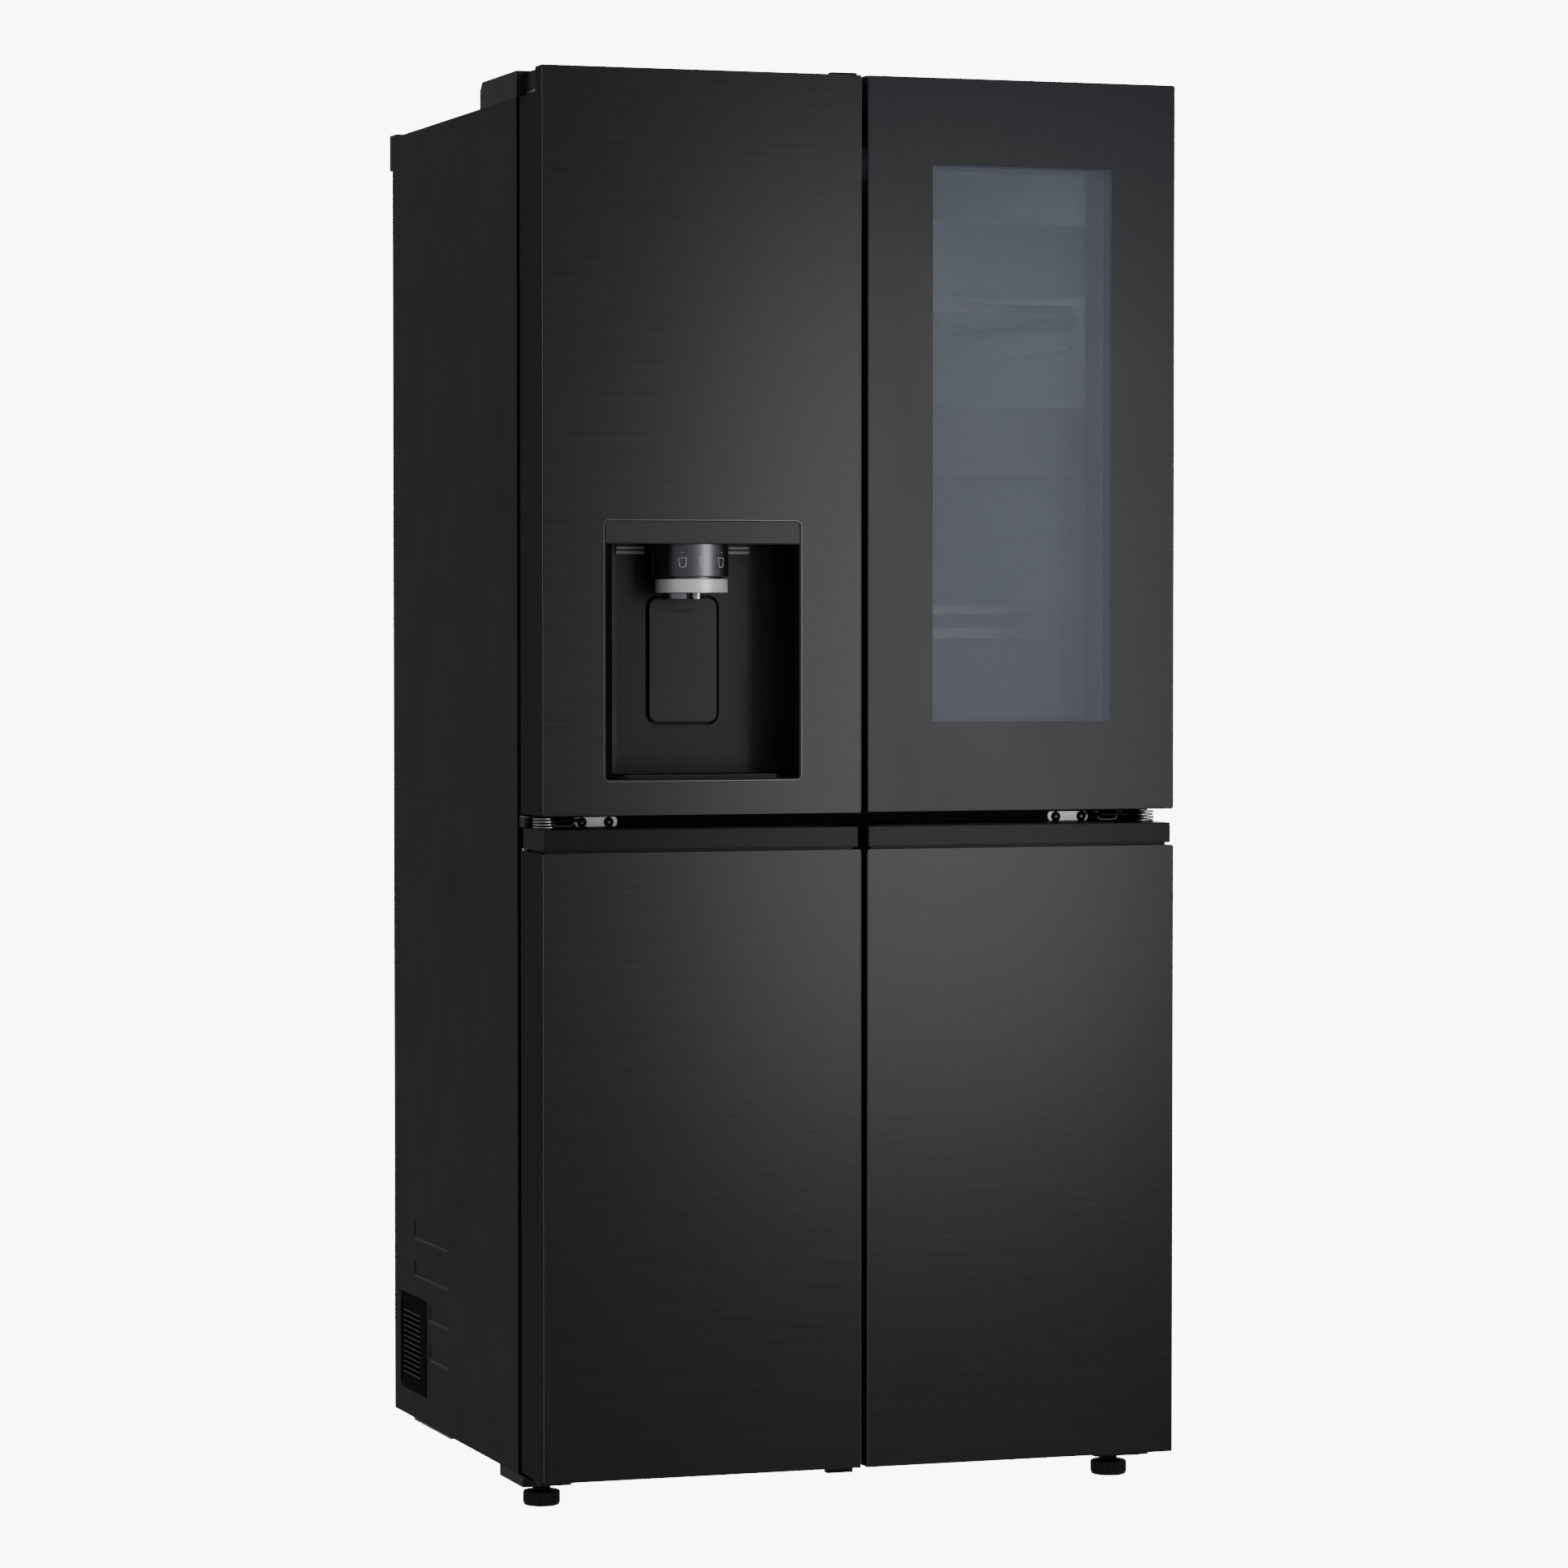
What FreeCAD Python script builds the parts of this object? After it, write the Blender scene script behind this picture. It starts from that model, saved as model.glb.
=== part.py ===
import os

import FreeCAD
import Part

V = FreeCAD.Vector
os.makedirs("parts", exist_ok=True)

# Refrigerator with four French doors: two over the fresh-food room, two over the freezers.
# +Z is up and the doors face -Y. The origin is at floor level, under the middle of the body.
# X runs from the middle of the width. s is the distance back from the front plane of the doors.
# Millimetres throughout.

# Overall sizes
width = 835.0
depth = 734.0
height = 1787.0
half = width / 2

# Heights set by themselves
under_cabinet = 42.0
hinge_cover_height = 33.0
clip_height = 3.0
door_drop = 4.0
lower_door_top = 849.5
middle_seam = 17.5
strip_height = 25.5
strip_groove = 3.0

# Depths and gaps
door_thick = 97.5
gasket_depth = 16.5
rear_spacer = 14.0
door_gap = 8.0
fit = 0.3
running = 0.05

# Sheets and walls
sheet = 1.2
door_corner = 1.5
liner = 1.5
wall = 50.0
emboss = 1.5
glass = 4.0
frame_sheet = 1.5
cap_height = 24.0
basket_wall = 3.0

# Hinges
pivot_in = 20.0
pivot_back = 57.0
pin_radius = 5.0
pin_length = 16.0
arm_half = 9.5
arm_thick = 4.0
notch_width = 60.0
notch_front = 29.5
notch_drop = 31.0

# Levels and depths worked out from them
cabinet_top = height - hinge_cover_height
door_top = height - clip_height
notch_floor = door_top - notch_drop
door_bottom = under_cabinet + door_drop
panel_top = lower_door_top - strip_height - strip_groove
upper_bottom = lower_door_top + middle_seam
seam_middle = lower_door_top + middle_seam / 2
cabinet_front = door_thick + gasket_depth
cabinet_rear = depth - rear_spacer
inside_front = cabinet_front + frame_sheet + fit
pivot_x = -half + pivot_in
free_edge = -door_gap / 2

# Rooms inside the cabinet
partition = 60.0
partition_lift = 2.0
rear_foam_extra = 10.0
step_roof_foam = 40.0
step_front_foam = 44.0
post_half = 25.0
freezer_floor_up = 58.0
machine_height = 178.0
machine_depth = 175.0
room_half = half - wall
fresh_floor = seam_middle + partition / 2 + partition_lift
fresh_roof = cabinet_top - wall
freezer_roof = seam_middle - partition / 2 + partition_lift
freezer_floor = under_cabinet + freezer_floor_up
room_rear = cabinet_rear - wall - rear_foam_extra
machine_roof = under_cabinet + machine_height
machine_front = cabinet_rear - machine_depth
step_top = machine_roof + step_roof_foam
step_front = machine_front - step_front_foam

# Door linings and what they carry
dyke_clear = 5.0
dyke_wall = 12.0
dyke_depth = 52.0
mullion_zone = 46.0
post_clear = 14.0
gasket_width = 14.0
upper_basket_depth = 95.0
lower_basket_depth = 60.0
basket_height = 90.0
upper_basket_places = (0.0, 0.493, 0.795)
lower_basket_places = (0.0, 0.5)

# Dispenser, placed from the hinge side of the door and from its bottom edge
niche_in = 81.0
niche_width = 251.0
niche_up = 44.0
niche_height = 290.0
niche_depth = 86.0
niche_corner = 40.0
fascia_height = 30.0
niche_lip = 3.5
niche_frame_corner = 7.0
niche_floor_thick = 3.0
paddle_width = 90.0
paddle_height = 156.0
paddle_up = 68.0
paddle_thick = 3.0
paddle_corner = 12.0
paddle_pocket_depth = 8.5
paddle_play = 3.0
head_radius = 46.0
head_back = 48.0
head_height = 40.0
ring_height = 17.0
ring_drop = 3.0
tray_height = 6.0
chute_x0 = -38.0
chute_x1 = -10.0
chute_drop = 8.0
nozzle_x = 1.0
nozzle_forward = 16.0
nozzle_radius = 7.5
nozzle_drop = 8.0

# Window in the upper right door
window_in = 86.0
window_width = 241.0
window_up = 112.0
window_down = 109.0
window_rim = 6.0
pane_back = 86.0

# Inside fittings
shelf_gap = 22.5
shelf_front = door_thick + upper_basket_depth + shelf_gap
crisper_height = 228.0
shelf_count = 2
drawer_gap = 17.5
drawer_front = door_thick + lower_basket_depth + drawer_gap
drawer_clear = 8.0
drawer_count = 3

# Feet and rollers
foot_radius = 23.5
foot_in = 35.0
foot_back = 130.0
foot_height = 20.0
stem_radius = 5.0
bracket_bottom = 27.0
bracket_in = 2.0
bracket_width = 68.0
bracket_reach = 92.0
roller_in = 120.0
roller_radius = 18.0
roller_width = 24.0
roller_from_rear = 80.0
axle_radius = 4.0

# Vent grille in the left side, placed from the cabinet's rear edge and bottom
vent_rear = 32.0
vent_length = 134.0
vent_up = 35.0
vent_height = 128.0
vent_thick = 3.0
vent_bar = 1.6
vent_rib = 1.1


def box(x0, x1, s0, s1, z0, z1):
    return Part.makeBox(x1 - x0, s1 - s0, z1 - z0, V(x0, s0 - depth / 2, z0))


def post(x, s, radius, z0, z1):
    return Part.makeCylinder(radius, z1 - z0, V(x, s - depth / 2, z0), V(0, 0, 1))


def bar(x0, x1, s, z, radius):
    return Part.makeCylinder(radius, x1 - x0, V(x0, s - depth / 2, z), V(1, 0, 0))


def peg(x, s0, s1, z, radius):
    return Part.makeCylinder(radius, s1 - s0, V(x, s0 - depth / 2, z), V(0, 1, 0))


def plate(points, z0, z1):
    corners = [V(x, s - depth / 2, z0) for x, s in points]
    face = Part.Face(Part.makePolygon(corners + corners[:1]))
    return face.extrude(V(0, 0, z1 - z0))


def mirrored(shape):
    return shape.mirror(V(0, 0, 0), V(1, 0, 0))


def pair(shape):
    return Part.makeCompound([shape, mirrored(shape)])


def group(shapes):
    return Part.makeCompound(shapes)


def rounded(shape, radius, axis, wanted):
    """Fillets the straight edges along one axis whose middle point is wanted."""
    edges = []
    for edge in shape.Edges:
        line = edge.Vertexes[-1].Point - edge.Vertexes[0].Point
        if line.Length > 1e-6 and abs(line.normalize().dot(axis)) > 0.999 and wanted(edge.CenterOfMass):
            edges.append(edge)
    return shape.makeFillet(radius, edges)


def tray(x0, x1, s0, s1, z0, z1, thick):
    """An open-topped box."""
    inside = box(x0 + thick, x1 - thick, s0 + thick, s1 - thick, z0 + thick, z1 + 1)
    return box(x0, x1, s0, s1, z0, z1).cut(inside)


def ring(x0, x1, z0, z1, rim, s0, s1):
    """A rectangular frame that stands on edge."""
    inside = box(x0 + rim, x1 - rim, s0 - 1, s1 + 1, z0 + rim, z1 - rim)
    return box(x0, x1, s0, s1, z0, z1).cut(inside)


def save(name, shape):
    shape.exportStep("parts/" + name + ".step")


# Cabinet ------------------------------------------------------------------------------------

vent_s1 = cabinet_rear - vent_rear
vent_s0 = vent_s1 - vent_length
vent_z0 = under_cabinet + vent_up
vent_z1 = vent_z0 + vent_height


def emboss_fields():
    """Stiffening fields of the side panels: long ones above the vent, short ones beside it."""
    front = vent_s0 - 106.5
    long_rear = vent_s1 - 70.6
    short_rear = vent_s0 - 13.0
    return [
        (front, long_rear, vent_z1 + 76, vent_z1 + 103),
        (front, long_rear, vent_z1 + 26, vent_z1 + 51),
        (front, short_rear, vent_z0 + 102, vent_z0 + 128),
        (front, short_rear, vent_z0 + 50, vent_z0 + 76),
    ]


def cabinet_shell():
    outer = box(-half, half, cabinet_front, cabinet_rear, under_cabinet, cabinet_top)
    inner = box(-half + sheet, half - sheet, cabinet_front - 1, cabinet_rear + 1,
                under_cabinet - 1, cabinet_top - sheet)
    shell = outer.cut(inner)
    for s0, s1, z0, z1 in emboss_fields():
        pad = box(-half + emboss, -half + emboss + sheet, s0, s1, z0, z1)
        dent = box(-half - 1, -half + emboss, s0 + sheet, s1 - sheet, z0 + sheet, z1 - sheet)
        for side in (lambda shape: shape, mirrored):
            shell = shell.fuse(side(box(-half, -half + emboss, s0, s1, z0, z1).fuse(pad)))
            shell = shell.cut(side(dent))
    vent = box(-half - 1, -half + emboss + sheet, vent_s0 - fit, vent_s1 + fit,
               vent_z0 - fit, vent_z1 + fit)
    return shell.cut(vent)


foam_side = half - sheet - emboss - fit
foam_room = room_half + liner + fit
foam_rear = cabinet_rear - sheet - fit


def cabinet_foam():
    inner = foam_room - fit
    floor = under_cabinet + 2
    rear = room_rear + liner + fit
    side_low = box(-foam_side, -foam_room, inside_front, machine_front, floor, machine_roof)
    side_high = box(-foam_side, -foam_room, inside_front, foam_rear, machine_roof + fit,
                    cabinet_top - sheet - fit)
    slabs = [
        side_low,
        mirrored(side_low),
        side_high,
        mirrored(side_high),
        box(-inner, inner, rear, foam_rear, step_top, cabinet_top - sheet - fit),
        box(-inner, inner, inside_front, rear - fit, fresh_roof + liner + fit,
            cabinet_top - sheet - fit),
        box(-inner, inner, inside_front, rear - fit, freezer_roof + liner + fit,
            fresh_floor - liner - fit),
        box(-inner, inner, inside_front, machine_front, floor, freezer_floor - liner - fit),
        box(-inner, inner, machine_front + fit, foam_rear, machine_roof, step_top - liner - fit),
        box(-inner, inner, step_front + liner + fit, machine_front, freezer_floor - liner,
            step_top - liner - fit),
        box(-post_half + liner + fit, post_half - liner - fit, inside_front, rear - fit,
            step_top + fit, freezer_roof),
        box(-post_half + liner + fit, post_half - liner - fit, inside_front,
            step_front + liner, freezer_floor - liner, step_top),
    ]
    return group(slabs)


def fresh_liner():
    outer = box(-room_half - liner, room_half + liner, inside_front, room_rear + liner,
                fresh_floor - liner, fresh_roof + liner)
    return outer.cut(box(-room_half, room_half, inside_front - 1, room_rear, fresh_floor, fresh_roof))


def freezer_room(grow):
    """Space of the left freezer, over the step that clears the machine room."""
    x0 = -room_half - grow
    x1 = -post_half + grow
    high = box(x0, x1, inside_front, room_rear + grow, step_top - grow, freezer_roof + grow)
    low = box(x0, x1, inside_front, step_front + grow, freezer_floor - grow, step_top)
    return high.fuse(low).removeSplitter()


def freezer_liners():
    open_front = box(-room_half, -post_half, inside_front - 1, inside_front + 1,
                     freezer_floor, freezer_roof)
    return pair(freezer_room(liner).cut(freezer_room(0)).cut(open_front))


def front_frame():
    s0 = cabinet_front
    s1 = cabinet_front + frame_sheet
    edge = half - sheet - fit
    face = box(-edge, edge, s0, s1, under_cabinet, cabinet_top - sheet - fit)
    face = face.cut(box(-room_half, room_half, s0 - 1, s1 + 1, fresh_floor, fresh_roof))
    freezer = box(-room_half, -post_half, s0 - 1, s1 + 1, freezer_floor, freezer_roof)
    return face.cut(freezer).cut(mirrored(freezer))


def back_panel():
    edge = half - sheet - fit
    return box(-edge, edge, cabinet_rear - sheet, cabinet_rear, machine_roof + fit,
               cabinet_top - sheet - fit)


def machine_cover():
    edge = half - sheet - fit
    cover = box(-edge, edge, cabinet_rear - sheet, cabinet_rear, under_cabinet + 2, machine_roof)
    slots = []
    rows = 4
    columns = 14
    pitch_x = (2 * edge - 200) / columns
    pitch_z = (machine_height - 60) / rows
    for column in range(columns):
        for row in range(rows):
            x = -edge + 150 + column * pitch_x
            z = under_cabinet + 36 + row * pitch_z
            slots.append(box(x, x + pitch_x * 0.6, cabinet_rear - sheet - 1, cabinet_rear + 1, z, z + 9))
    return cover.cut(group(slots))


fan_x = 90.0
fan_hub = 30.0
fan_s = (machine_front + cabinet_rear) / 2
fan_z = under_cabinet + 88
fan_shaft = 3.0
roller_s = cabinet_rear - roller_from_rear
pan_thick = 1.5


def base_pan():
    edge = half - sheet - fit
    pan = box(-edge, edge, inside_front, cabinet_rear - sheet - fit, under_cabinet,
              under_cabinet + pan_thick)
    hem = box(-edge + 4, -edge + 34, vent_s0 - 99, vent_s1 - 48, under_cabinet - 6, under_cabinet)
    cheek_in = roller_width / 2 + 2
    cheek_thick = 3.0
    roller_x = -half + roller_in
    parts = [hem]
    for side in (-1, 1):
        face = roller_x + side * cheek_in
        other = face + side * cheek_thick
        parts.append(box(min(face, other), max(face, other), roller_s - 12, roller_s + 12,
                         roller_radius - 9, under_cabinet))
    parts.append(bar(roller_x - cheek_in - 1, roller_x + cheek_in + 1, roller_s, roller_radius,
                     axle_radius))
    for part in parts:
        pan = pan.fuse(part).fuse(mirrored(part))
    stand = box(fan_x + fan_hub + 20, fan_x + fan_hub + 60, fan_s - 15, fan_s + 15,
                under_cabinet, fan_z + 15)
    shaft = bar(fan_x - 4, fan_x + fan_hub + 21, fan_s, fan_z, fan_shaft)
    return pan.fuse(stand).fuse(shaft).removeSplitter()


def condenser_fan():
    hub = bar(fan_x, fan_x + fan_hub, fan_s, fan_z, 18)
    blades = 5
    blade_length = min(machine_height, machine_depth) / 2 - 25
    for number in range(blades):
        corner = V(fan_x + fan_hub / 2 - 1, fan_s - depth / 2 - 17, fan_z + 12)
        blade = Part.makeBox(2, 34, blade_length - 12, corner)
        blade.rotate(V(fan_x + fan_hub / 2, fan_s - depth / 2, fan_z), V(0, 0, 1), 35)
        blade.rotate(V(fan_x, fan_s - depth / 2, fan_z), V(1, 0, 0), number * 360 / blades)
        hub = hub.fuse(blade)
    return hub.cut(bar(fan_x - 1, fan_x + fan_hub + 1, fan_s, fan_z, fan_shaft + running)).removeSplitter()


def compressor():
    radius = machine_depth / 2 - 18
    x = -150.0
    foot = under_cabinet + pan_thick
    can = post(x, fan_s, radius, foot + 12, foot + machine_height - 30)
    can = can.makeFillet(22, [e for e in can.Edges if isinstance(e.Curve, Part.Circle)])
    for side_x in (-1, 1):
        for side_s in (-1, 1):
            can = can.fuse(post(x + side_x * 40, fan_s + side_s * 40, 9, foot, foot + 22))
    return can


def roller():
    x = -half + roller_in
    wheel = bar(x - roller_width / 2, x + roller_width / 2, roller_s, roller_radius, roller_radius)
    return wheel.cut(bar(x - roller_width, x + roller_width, roller_s, roller_radius,
                         axle_radius + running))


def vent_grille():
    panel = box(-half, -half + vent_thick, vent_s0, vent_s1, vent_z0, vent_z1)
    rows = 12
    columns = 4
    grid_s0 = vent_s0 + 32
    grid_s1 = vent_s1 - 17
    grid_z0 = vent_z0 + 21.5
    grid_z1 = vent_z1 - 24
    pitch_s = (grid_s1 - grid_s0) / columns
    pitch_z = (grid_z1 - grid_z0) / rows
    slots = []
    for column in range(columns):
        for row in range(rows):
            s = grid_s0 + column * pitch_s
            z = grid_z0 + row * pitch_z
            slots.append(box(-half - 1, -half + vent_thick + 1, s + vent_bar, s + pitch_s - vent_bar,
                             z + vent_rib, z + pitch_z - vent_rib))
    return panel.cut(group(slots))


def rear_spacers():
    upright = box(-half, -half + 40, cabinet_rear, depth, cabinet_top - 44, cabinet_top + 3.5)
    lip = box(-half, -half + 40, cabinet_rear - 20, cabinet_rear, cabinet_top, cabinet_top + 3.5)
    return pair(upright.fuse(lip).removeSplitter())


def power_inlet():
    x = half - 110
    z = under_cabinet + 130
    body = box(x - 22, x + 22, cabinet_rear, cabinet_rear + 8, z - 15, z + 15)
    return body.cut(box(x - 14, x + 14, cabinet_rear + 3, cabinet_rear + 9, z - 8, z + 8))


# Hinges -------------------------------------------------------------------------------------


def arm(rear, z0, z1, side=arm_half):
    """A strap with a round end about the pivot, that runs back to the cabinet."""
    strap = box(pivot_x - side, pivot_x + side, pivot_back, rear, z0, z1)
    return strap.fuse(post(pivot_x, pivot_back, side, z0, z1)).removeSplitter()


arm_lift = 3.0
cover_length = 169.0
cover_width = 88.0
cover_wall = 2.0
nose_half = 10.0


def top_hinges():
    z0 = cabinet_top + arm_lift
    z1 = z0 + arm_thick
    base = box(-half + 10, -half + 80, cabinet_front + 4, cabinet_front + 126, cabinet_top, z1)
    pin = post(pivot_x, pivot_back, pin_radius, notch_floor - pin_length, z0)
    return pair(arm(cabinet_front + 10, z0, z1).fuse(base).fuse(pin).removeSplitter())


def hinge_covers():
    s0 = cabinet_front - 2
    s1 = s0 + cover_length
    x1 = -half + cover_width
    low = cabinet_top
    hood = box(-half, x1, s0, s1, low, height)
    edge = [e for e in hood.Edges
            if abs(e.CenterOfMass.z - height) < 0.1 and abs(e.CenterOfMass.y + depth / 2 - s1) < 0.1]
    hood = hood.makeChamfer(10, edge)
    hood = hood.cut(box(-half + cover_wall, x1 - cover_wall, s0 + cover_wall, s1 - 12, low - 1,
                        height - cover_wall - 1))
    slot = box(pivot_x - arm_half - 1, pivot_x + arm_half + 1, s0 - 1, s0 + cover_wall + 1,
               low - 1, low + arm_lift + arm_thick + 1)
    nose = arm(s0, low + arm_lift + arm_thick + 0.5, door_top, nose_half)
    return pair(hood.cut(slot).fuse(nose).removeSplitter())


mid_plate_out = 129.0
mid_plate_height = 13.5


def mid_hinges():
    z1 = seam_middle + 1.75
    z0 = z1 - arm_thick
    s1 = cabinet_front - 2
    wing = plate([(pivot_x - arm_half, pivot_back + 20), (pivot_x + arm_half, pivot_back + 20),
                  (-half + 60, s1 - 14), (-half + mid_plate_out, s1 - 10),
                  (-half + mid_plate_out, s1), (pivot_x - arm_half, s1)], z0, z1)
    foot = box(pivot_x - arm_half, -half + mid_plate_out, s1, cabinet_front,
               z1 - mid_plate_height + 2, z1 + 2)
    up = post(pivot_x, pivot_back, pin_radius, z0, upper_bottom + pin_length)
    down = post(pivot_x, pivot_back, pin_radius, lower_door_top - pin_length, z0)
    hinge = arm(pivot_back + 24, z0, z1).fuse(wing).fuse(foot).fuse(up).fuse(down)
    return pair(hinge.removeSplitter())


def bottom_hinges():
    z1 = under_cabinet - 1
    z0 = z1 - arm_thick - 1
    x0 = -half + bracket_in
    x1 = x0 + bracket_width
    s1 = cabinet_front + bracket_reach
    base = box(x0, x1, cabinet_front - 20, s1, z0, z1)
    seat = box(x0, x1, cabinet_front + 20, s1, z1, under_cabinet)
    channel = box(x0, x1 - 5, cabinet_front - 14, s1, bracket_bottom, z0)
    pin = post(pivot_x, pivot_back, pin_radius, z1, door_bottom + pin_length)
    hinge = arm(cabinet_front - 10, z0, z1).fuse(base).fuse(seat).fuse(channel).fuse(pin)
    stem = post(-half + foot_in, foot_back, stem_radius + fit, bracket_bottom - 1, z0)
    return pair(hinge.cut(stem).removeSplitter())


def feet():
    disc = post(-half + foot_in, foot_back, foot_radius, 0, foot_height)
    disc = disc.makeChamfer(1.5, [e for e in disc.Edges if isinstance(e.Curve, Part.Circle)])
    stem = post(-half + foot_in, foot_back, stem_radius, foot_height - 2, under_cabinet - 8)
    return pair(disc.fuse(stem))


def hinge_screws():
    screws = []
    z = seam_middle - 5.75
    for out in (82.5, 117.5):
        screws.append(peg(-half + out, cabinet_front - 4, cabinet_front - 2, z, 3.2))
    for s in (cabinet_front + 40, cabinet_front + 100):
        screws.append(post(-half + 45, s, 5, cabinet_top + arm_lift + arm_thick,
                           cabinet_top + arm_lift + arm_thick + 3))
    return group(screws + [mirrored(screw) for screw in screws])


# Doors --------------------------------------------------------------------------------------

gasket_hinge = pivot_x + 1
gasket_free = free_edge - 4
dyke_hinge = -room_half + dyke_clear


def notch():
    return box(-half - 1, -half + notch_width, notch_front, door_thick + 1, notch_floor, door_top + 1)


def steel_skin(z0, z1):
    outer = box(-half, free_edge, 0, door_thick, z0, z1)
    outer = rounded(outer, door_corner, V(0, 0, 1), lambda p: p.y < 1 - depth / 2)
    return outer.cut(box(-half + sheet, free_edge - sheet, sheet, door_thick + 1, z0 - 1, z1 + 1))


def door_block(front, z0, z1, rear=door_thick):
    """A block that fits between a door's side sheets."""
    return box(-half + sheet + fit, free_edge - sheet - fit, front + fit, rear, z0, z1)


def pin_bore(z0, z1):
    return post(pivot_x, pivot_back, pin_radius + running, z0, z1)


def finger_groove(z0, z1):
    return box(-half + 60, free_edge - 20, 24, 52, z0, z1)


def upper_caps(front):
    top = door_block(front, notch_floor - cap_height, door_top).cut(notch())
    top = top.cut(pin_bore(notch_floor - pin_length - 2, notch_floor + 1))
    low = door_block(front, upper_bottom, upper_bottom + cap_height)
    low = low.cut(pin_bore(upper_bottom - 1, upper_bottom + pin_length + 2))
    low = low.cut(finger_groove(upper_bottom - 1, upper_bottom + 12))
    return [top, low]


def door_lining(z0, z1, dyke_z0, dyke_z1, dyke_free):
    """The inner lining sheet between the caps, with the raised wall round the baskets."""
    back = box(-half + sheet + fit, free_edge - sheet - fit, door_thick - liner, door_thick,
               z0 + fit, z1 - fit)
    dyke = ring(dyke_hinge, dyke_free, dyke_z0, dyke_z1, dyke_wall, door_thick, door_thick + dyke_depth)
    return group([back, dyke])


def door_gasket(z0, z1):
    return ring(gasket_hinge, gasket_free, z0, z1, gasket_width, door_thick + fit, cabinet_front - fit)


def baskets(places, z0, z1, free, reach):
    """Open baskets up the inside of a door, each placed as a share of the height z0 to z1."""
    shapes = []
    for place in places:
        low = z0 + place * (z1 - z0)
        shapes.append(tray(dyke_hinge + dyke_wall + 1, free - dyke_wall - 1, door_thick + fit,
                           door_thick + reach, low, low + basket_height, basket_wall))
    return group(shapes)


upper_z0 = upper_bottom + cap_height
upper_z1 = notch_floor - cap_height
upper_dyke_z0 = fresh_floor + dyke_clear
upper_dyke_z1 = fresh_roof - dyke_clear
upper_free = free_edge - mullion_zone - 4
lower_free = -post_half - post_clear
lower_z0 = door_bottom + cap_height
lower_z1 = panel_top - cap_height
lower_dyke_z0 = freezer_floor + dyke_clear
lower_dyke_z1 = freezer_roof - dyke_clear
upper_seal_z0 = upper_bottom + 4
upper_seal_z1 = cabinet_top - 4
lower_seal_z0 = door_bottom + 4
lower_seal_z1 = lower_door_top - 3.5

# Dispenser niche in the upper left door
niche_x0 = -half + niche_in
niche_x1 = niche_x0 + niche_width
niche_x = (niche_x0 + niche_x1) / 2
niche_z0 = upper_bottom + niche_up
niche_z1 = niche_z0 + niche_height
housing_x0 = niche_x0 - niche_lip
housing_x1 = niche_x1 + niche_lip
housing_z0 = niche_z0 - niche_floor_thick
housing_z1 = niche_z1 + fascia_height
housing_rear = door_thick - liner - fit
pocket_rear = niche_depth + paddle_pocket_depth
paddle_z0 = niche_z0 + paddle_up
paddle_z1 = paddle_z0 + paddle_height
paddle_axis_s = niche_depth + 4.0
paddle_axis_z = paddle_z1 - 5.0
paddle_pin = 1.8
fascia_thick = 2.0


def paddle_pocket():
    reach = paddle_width / 2 + paddle_play
    pocket = box(niche_x - reach, niche_x + reach, niche_depth - 1, pocket_rear,
                 paddle_z0 - paddle_play, paddle_z1 + paddle_play)
    return rounded(pocket, paddle_corner + paddle_play, V(0, 1, 0), lambda p: True)


def dispenser_housing():
    tub = box(housing_x0, housing_x1, 0, housing_rear, housing_z0, housing_z1)
    tub = rounded(tub, niche_frame_corner, V(0, 1, 0), lambda p: True)
    hollow = box(niche_x0, niche_x1, -1, niche_depth, niche_z0, niche_z1)
    hollow = rounded(hollow, niche_corner, V(0, 0, 1), lambda p: p.y > niche_depth - depth / 2 - 1)
    tub = tub.cut(hollow).cut(paddle_pocket())
    tub = tub.cut(box(niche_x0, niche_x1, -1, fascia_thick + fit, niche_z1 + 1, housing_z1 - 1))
    reach = paddle_width / 2 + paddle_play + 3
    return tub.cut(bar(niche_x - reach, niche_x + reach, paddle_axis_s, paddle_axis_z,
                       paddle_pin + running))


def dispenser_fascia():
    return box(niche_x0 + fit, niche_x1 - fit, 0, fascia_thick, niche_z1 + 1 + fit,
               housing_z1 - 1 - fit)


def dispenser_head():
    head_z0 = niche_z1 - head_height
    rear = niche_depth - fit
    drum = post(niche_x, head_back, head_radius, head_z0, niche_z1)
    neck = post(niche_x, head_back, head_radius - 8, head_z0 - ring_drop - ring_height, niche_z1)
    block = box(niche_x - 50.5, niche_x + 50.5, head_back, rear, head_z0, niche_z1)
    keep = box(niche_x - 60, niche_x + 60, 0, rear, head_z0 - 40, niche_z1)
    ring_bottom = head_z0 - ring_drop - ring_height
    chute = box(niche_x + chute_x0, niche_x + chute_x1, head_back - 22, head_back + 10,
                ring_bottom - chute_drop, ring_bottom)
    return drum.fuse(neck).fuse(block).fuse(chute).common(keep).removeSplitter()


def dispenser_ring():
    z1 = niche_z1 - head_height - ring_drop
    z0 = z1 - ring_height
    rear = niche_depth - fit
    hoop = post(niche_x, head_back, head_radius - 1, z0, z1)
    hoop = hoop.cut(post(niche_x, head_back, head_radius - 8 + running, z0 - 1, z1 + 1))
    hoop = hoop.common(box(niche_x - 60, niche_x + 60, 0, rear - fit, z0 - 1, z1 + 1))
    return hoop


def dispenser_nozzle():
    z1 = niche_z1 - head_height - ring_drop - ring_height
    x = niche_x + nozzle_x
    s = head_back - nozzle_forward
    tube = post(x, s, nozzle_radius, z1 - nozzle_drop, z1)
    return tube.cut(post(x, s, nozzle_radius - 2, z1 - nozzle_drop - 1, z1 - 3))


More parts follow.
